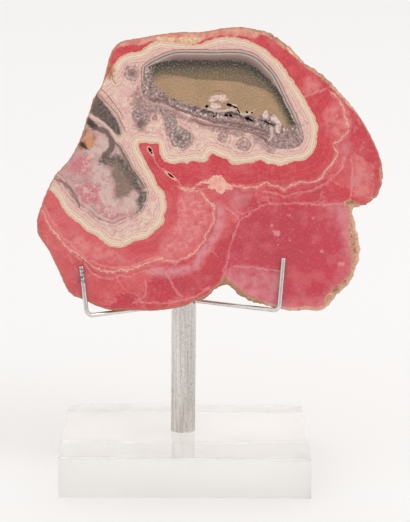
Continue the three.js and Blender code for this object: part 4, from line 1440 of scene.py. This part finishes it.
# %% Acrylic
acrylic, tree, shader = new_material(
    "cast_acrylic", Base_Color=(1.0, 0.98, 0.962, 1), IOR=1.49, Transmission_Weight=0.9
)
place_mm = place(tree, "ShaderNodeAttribute", attribute_name="place_mm").outputs["Vector"]
worn = scratches(tree, place_mm, (0.5, 0.12, 0.5), 0.06)
hazy = calc(tree, "MULTIPLY", mottle(tree, place_mm, 0.05, 2.0), 0.04)
along_x, along_y, height_mm = place(tree, "ShaderNodeSeparateXYZ", {0: place_mm}).outputs
side_x = fade(tree, calc(tree, "ABSOLUTE", along_x), 49.5, 49.9)
side_y = fade(tree, calc(tree, "ABSOLUTE", along_y), 37.0, 37.4)
underside = fade(tree, height_mm, 0.6, 0.2)
not_top = calc(tree, "MAXIMUM", calc(tree, "MAXIMUM", side_x, side_y), underside)
sawn_side = calc(tree, "MULTIPLY", not_top, 0.45)
polished = calc(tree, "ADD", calc(tree, "ADD", worn, hazy), 0.03)
tree.links.new(calc(tree, "ADD", polished, sawn_side), shader.inputs["Roughness"])
bump = place(tree, "ShaderNodeBump", {"Height": worn, "Strength": 0.1, "Distance": 0.05 * MM})
tree.links.new(bump.outputs[0], shader.inputs["Normal"])
clear = place(tree, "ShaderNodeBsdfTransparent", {"Color": (0.995, 0.985, 0.975, 1)}).outputs[0]
from_lamp = place(tree, "ShaderNodeLightPath").outputs["Is Shadow Ray"]
light_passes = place(tree, "ShaderNodeMixShader", {0: from_lamp, 1: shader.outputs[0], 2: clear}).outputs[0]
tree.links.new(light_passes, tree.nodes["Material Output"].inputs["Surface"])
print("acrylic ready")

# %% The block
BLOCK_MM = (100.0, 75.0, 16.5)
BLOCK_EDGE = 0.5
AIR_GAP = 0.05  # the block stands on the floor through a film of air, which is why it looks bright
SEAT_RADIUS, SEAT_DEPTH = 5.3, 1.0
half_x, half_y, top = BLOCK_MM[0] / 2, BLOCK_MM[1] / 2, BLOCK_MM[2]
plan = [(-half_x, -half_y), (half_x, -half_y), (half_x, half_y), (-half_x, half_y)]
corners = [(x, y, z) for z in (AIR_GAP, top) for x, y in plan]
sides = [(3, 2, 1, 0), (4, 5, 6, 7), (0, 1, 5, 4), (1, 2, 6, 5), (2, 3, 7, 6), (3, 0, 4, 7)]
block = new_piece("acrylic_block", corners, sides, acrylic)
rounding = block.modifiers.new("edges", "BEVEL")
rounding.width = BLOCK_EDGE * MM
rounding.segments = 4
seat_path = [Vector((*POST_XY, z)) for z in (top - SEAT_DEPTH, top + 2)]
cut(block, new_piece("seat", *tube(seat_path, [SEAT_RADIUS] * 2, 96), acrylic))
block.data.shade_smooth()
block.data.set_sharp_from_angle(angle=math.radians(24))
stand_for(block, "acrylic_base")
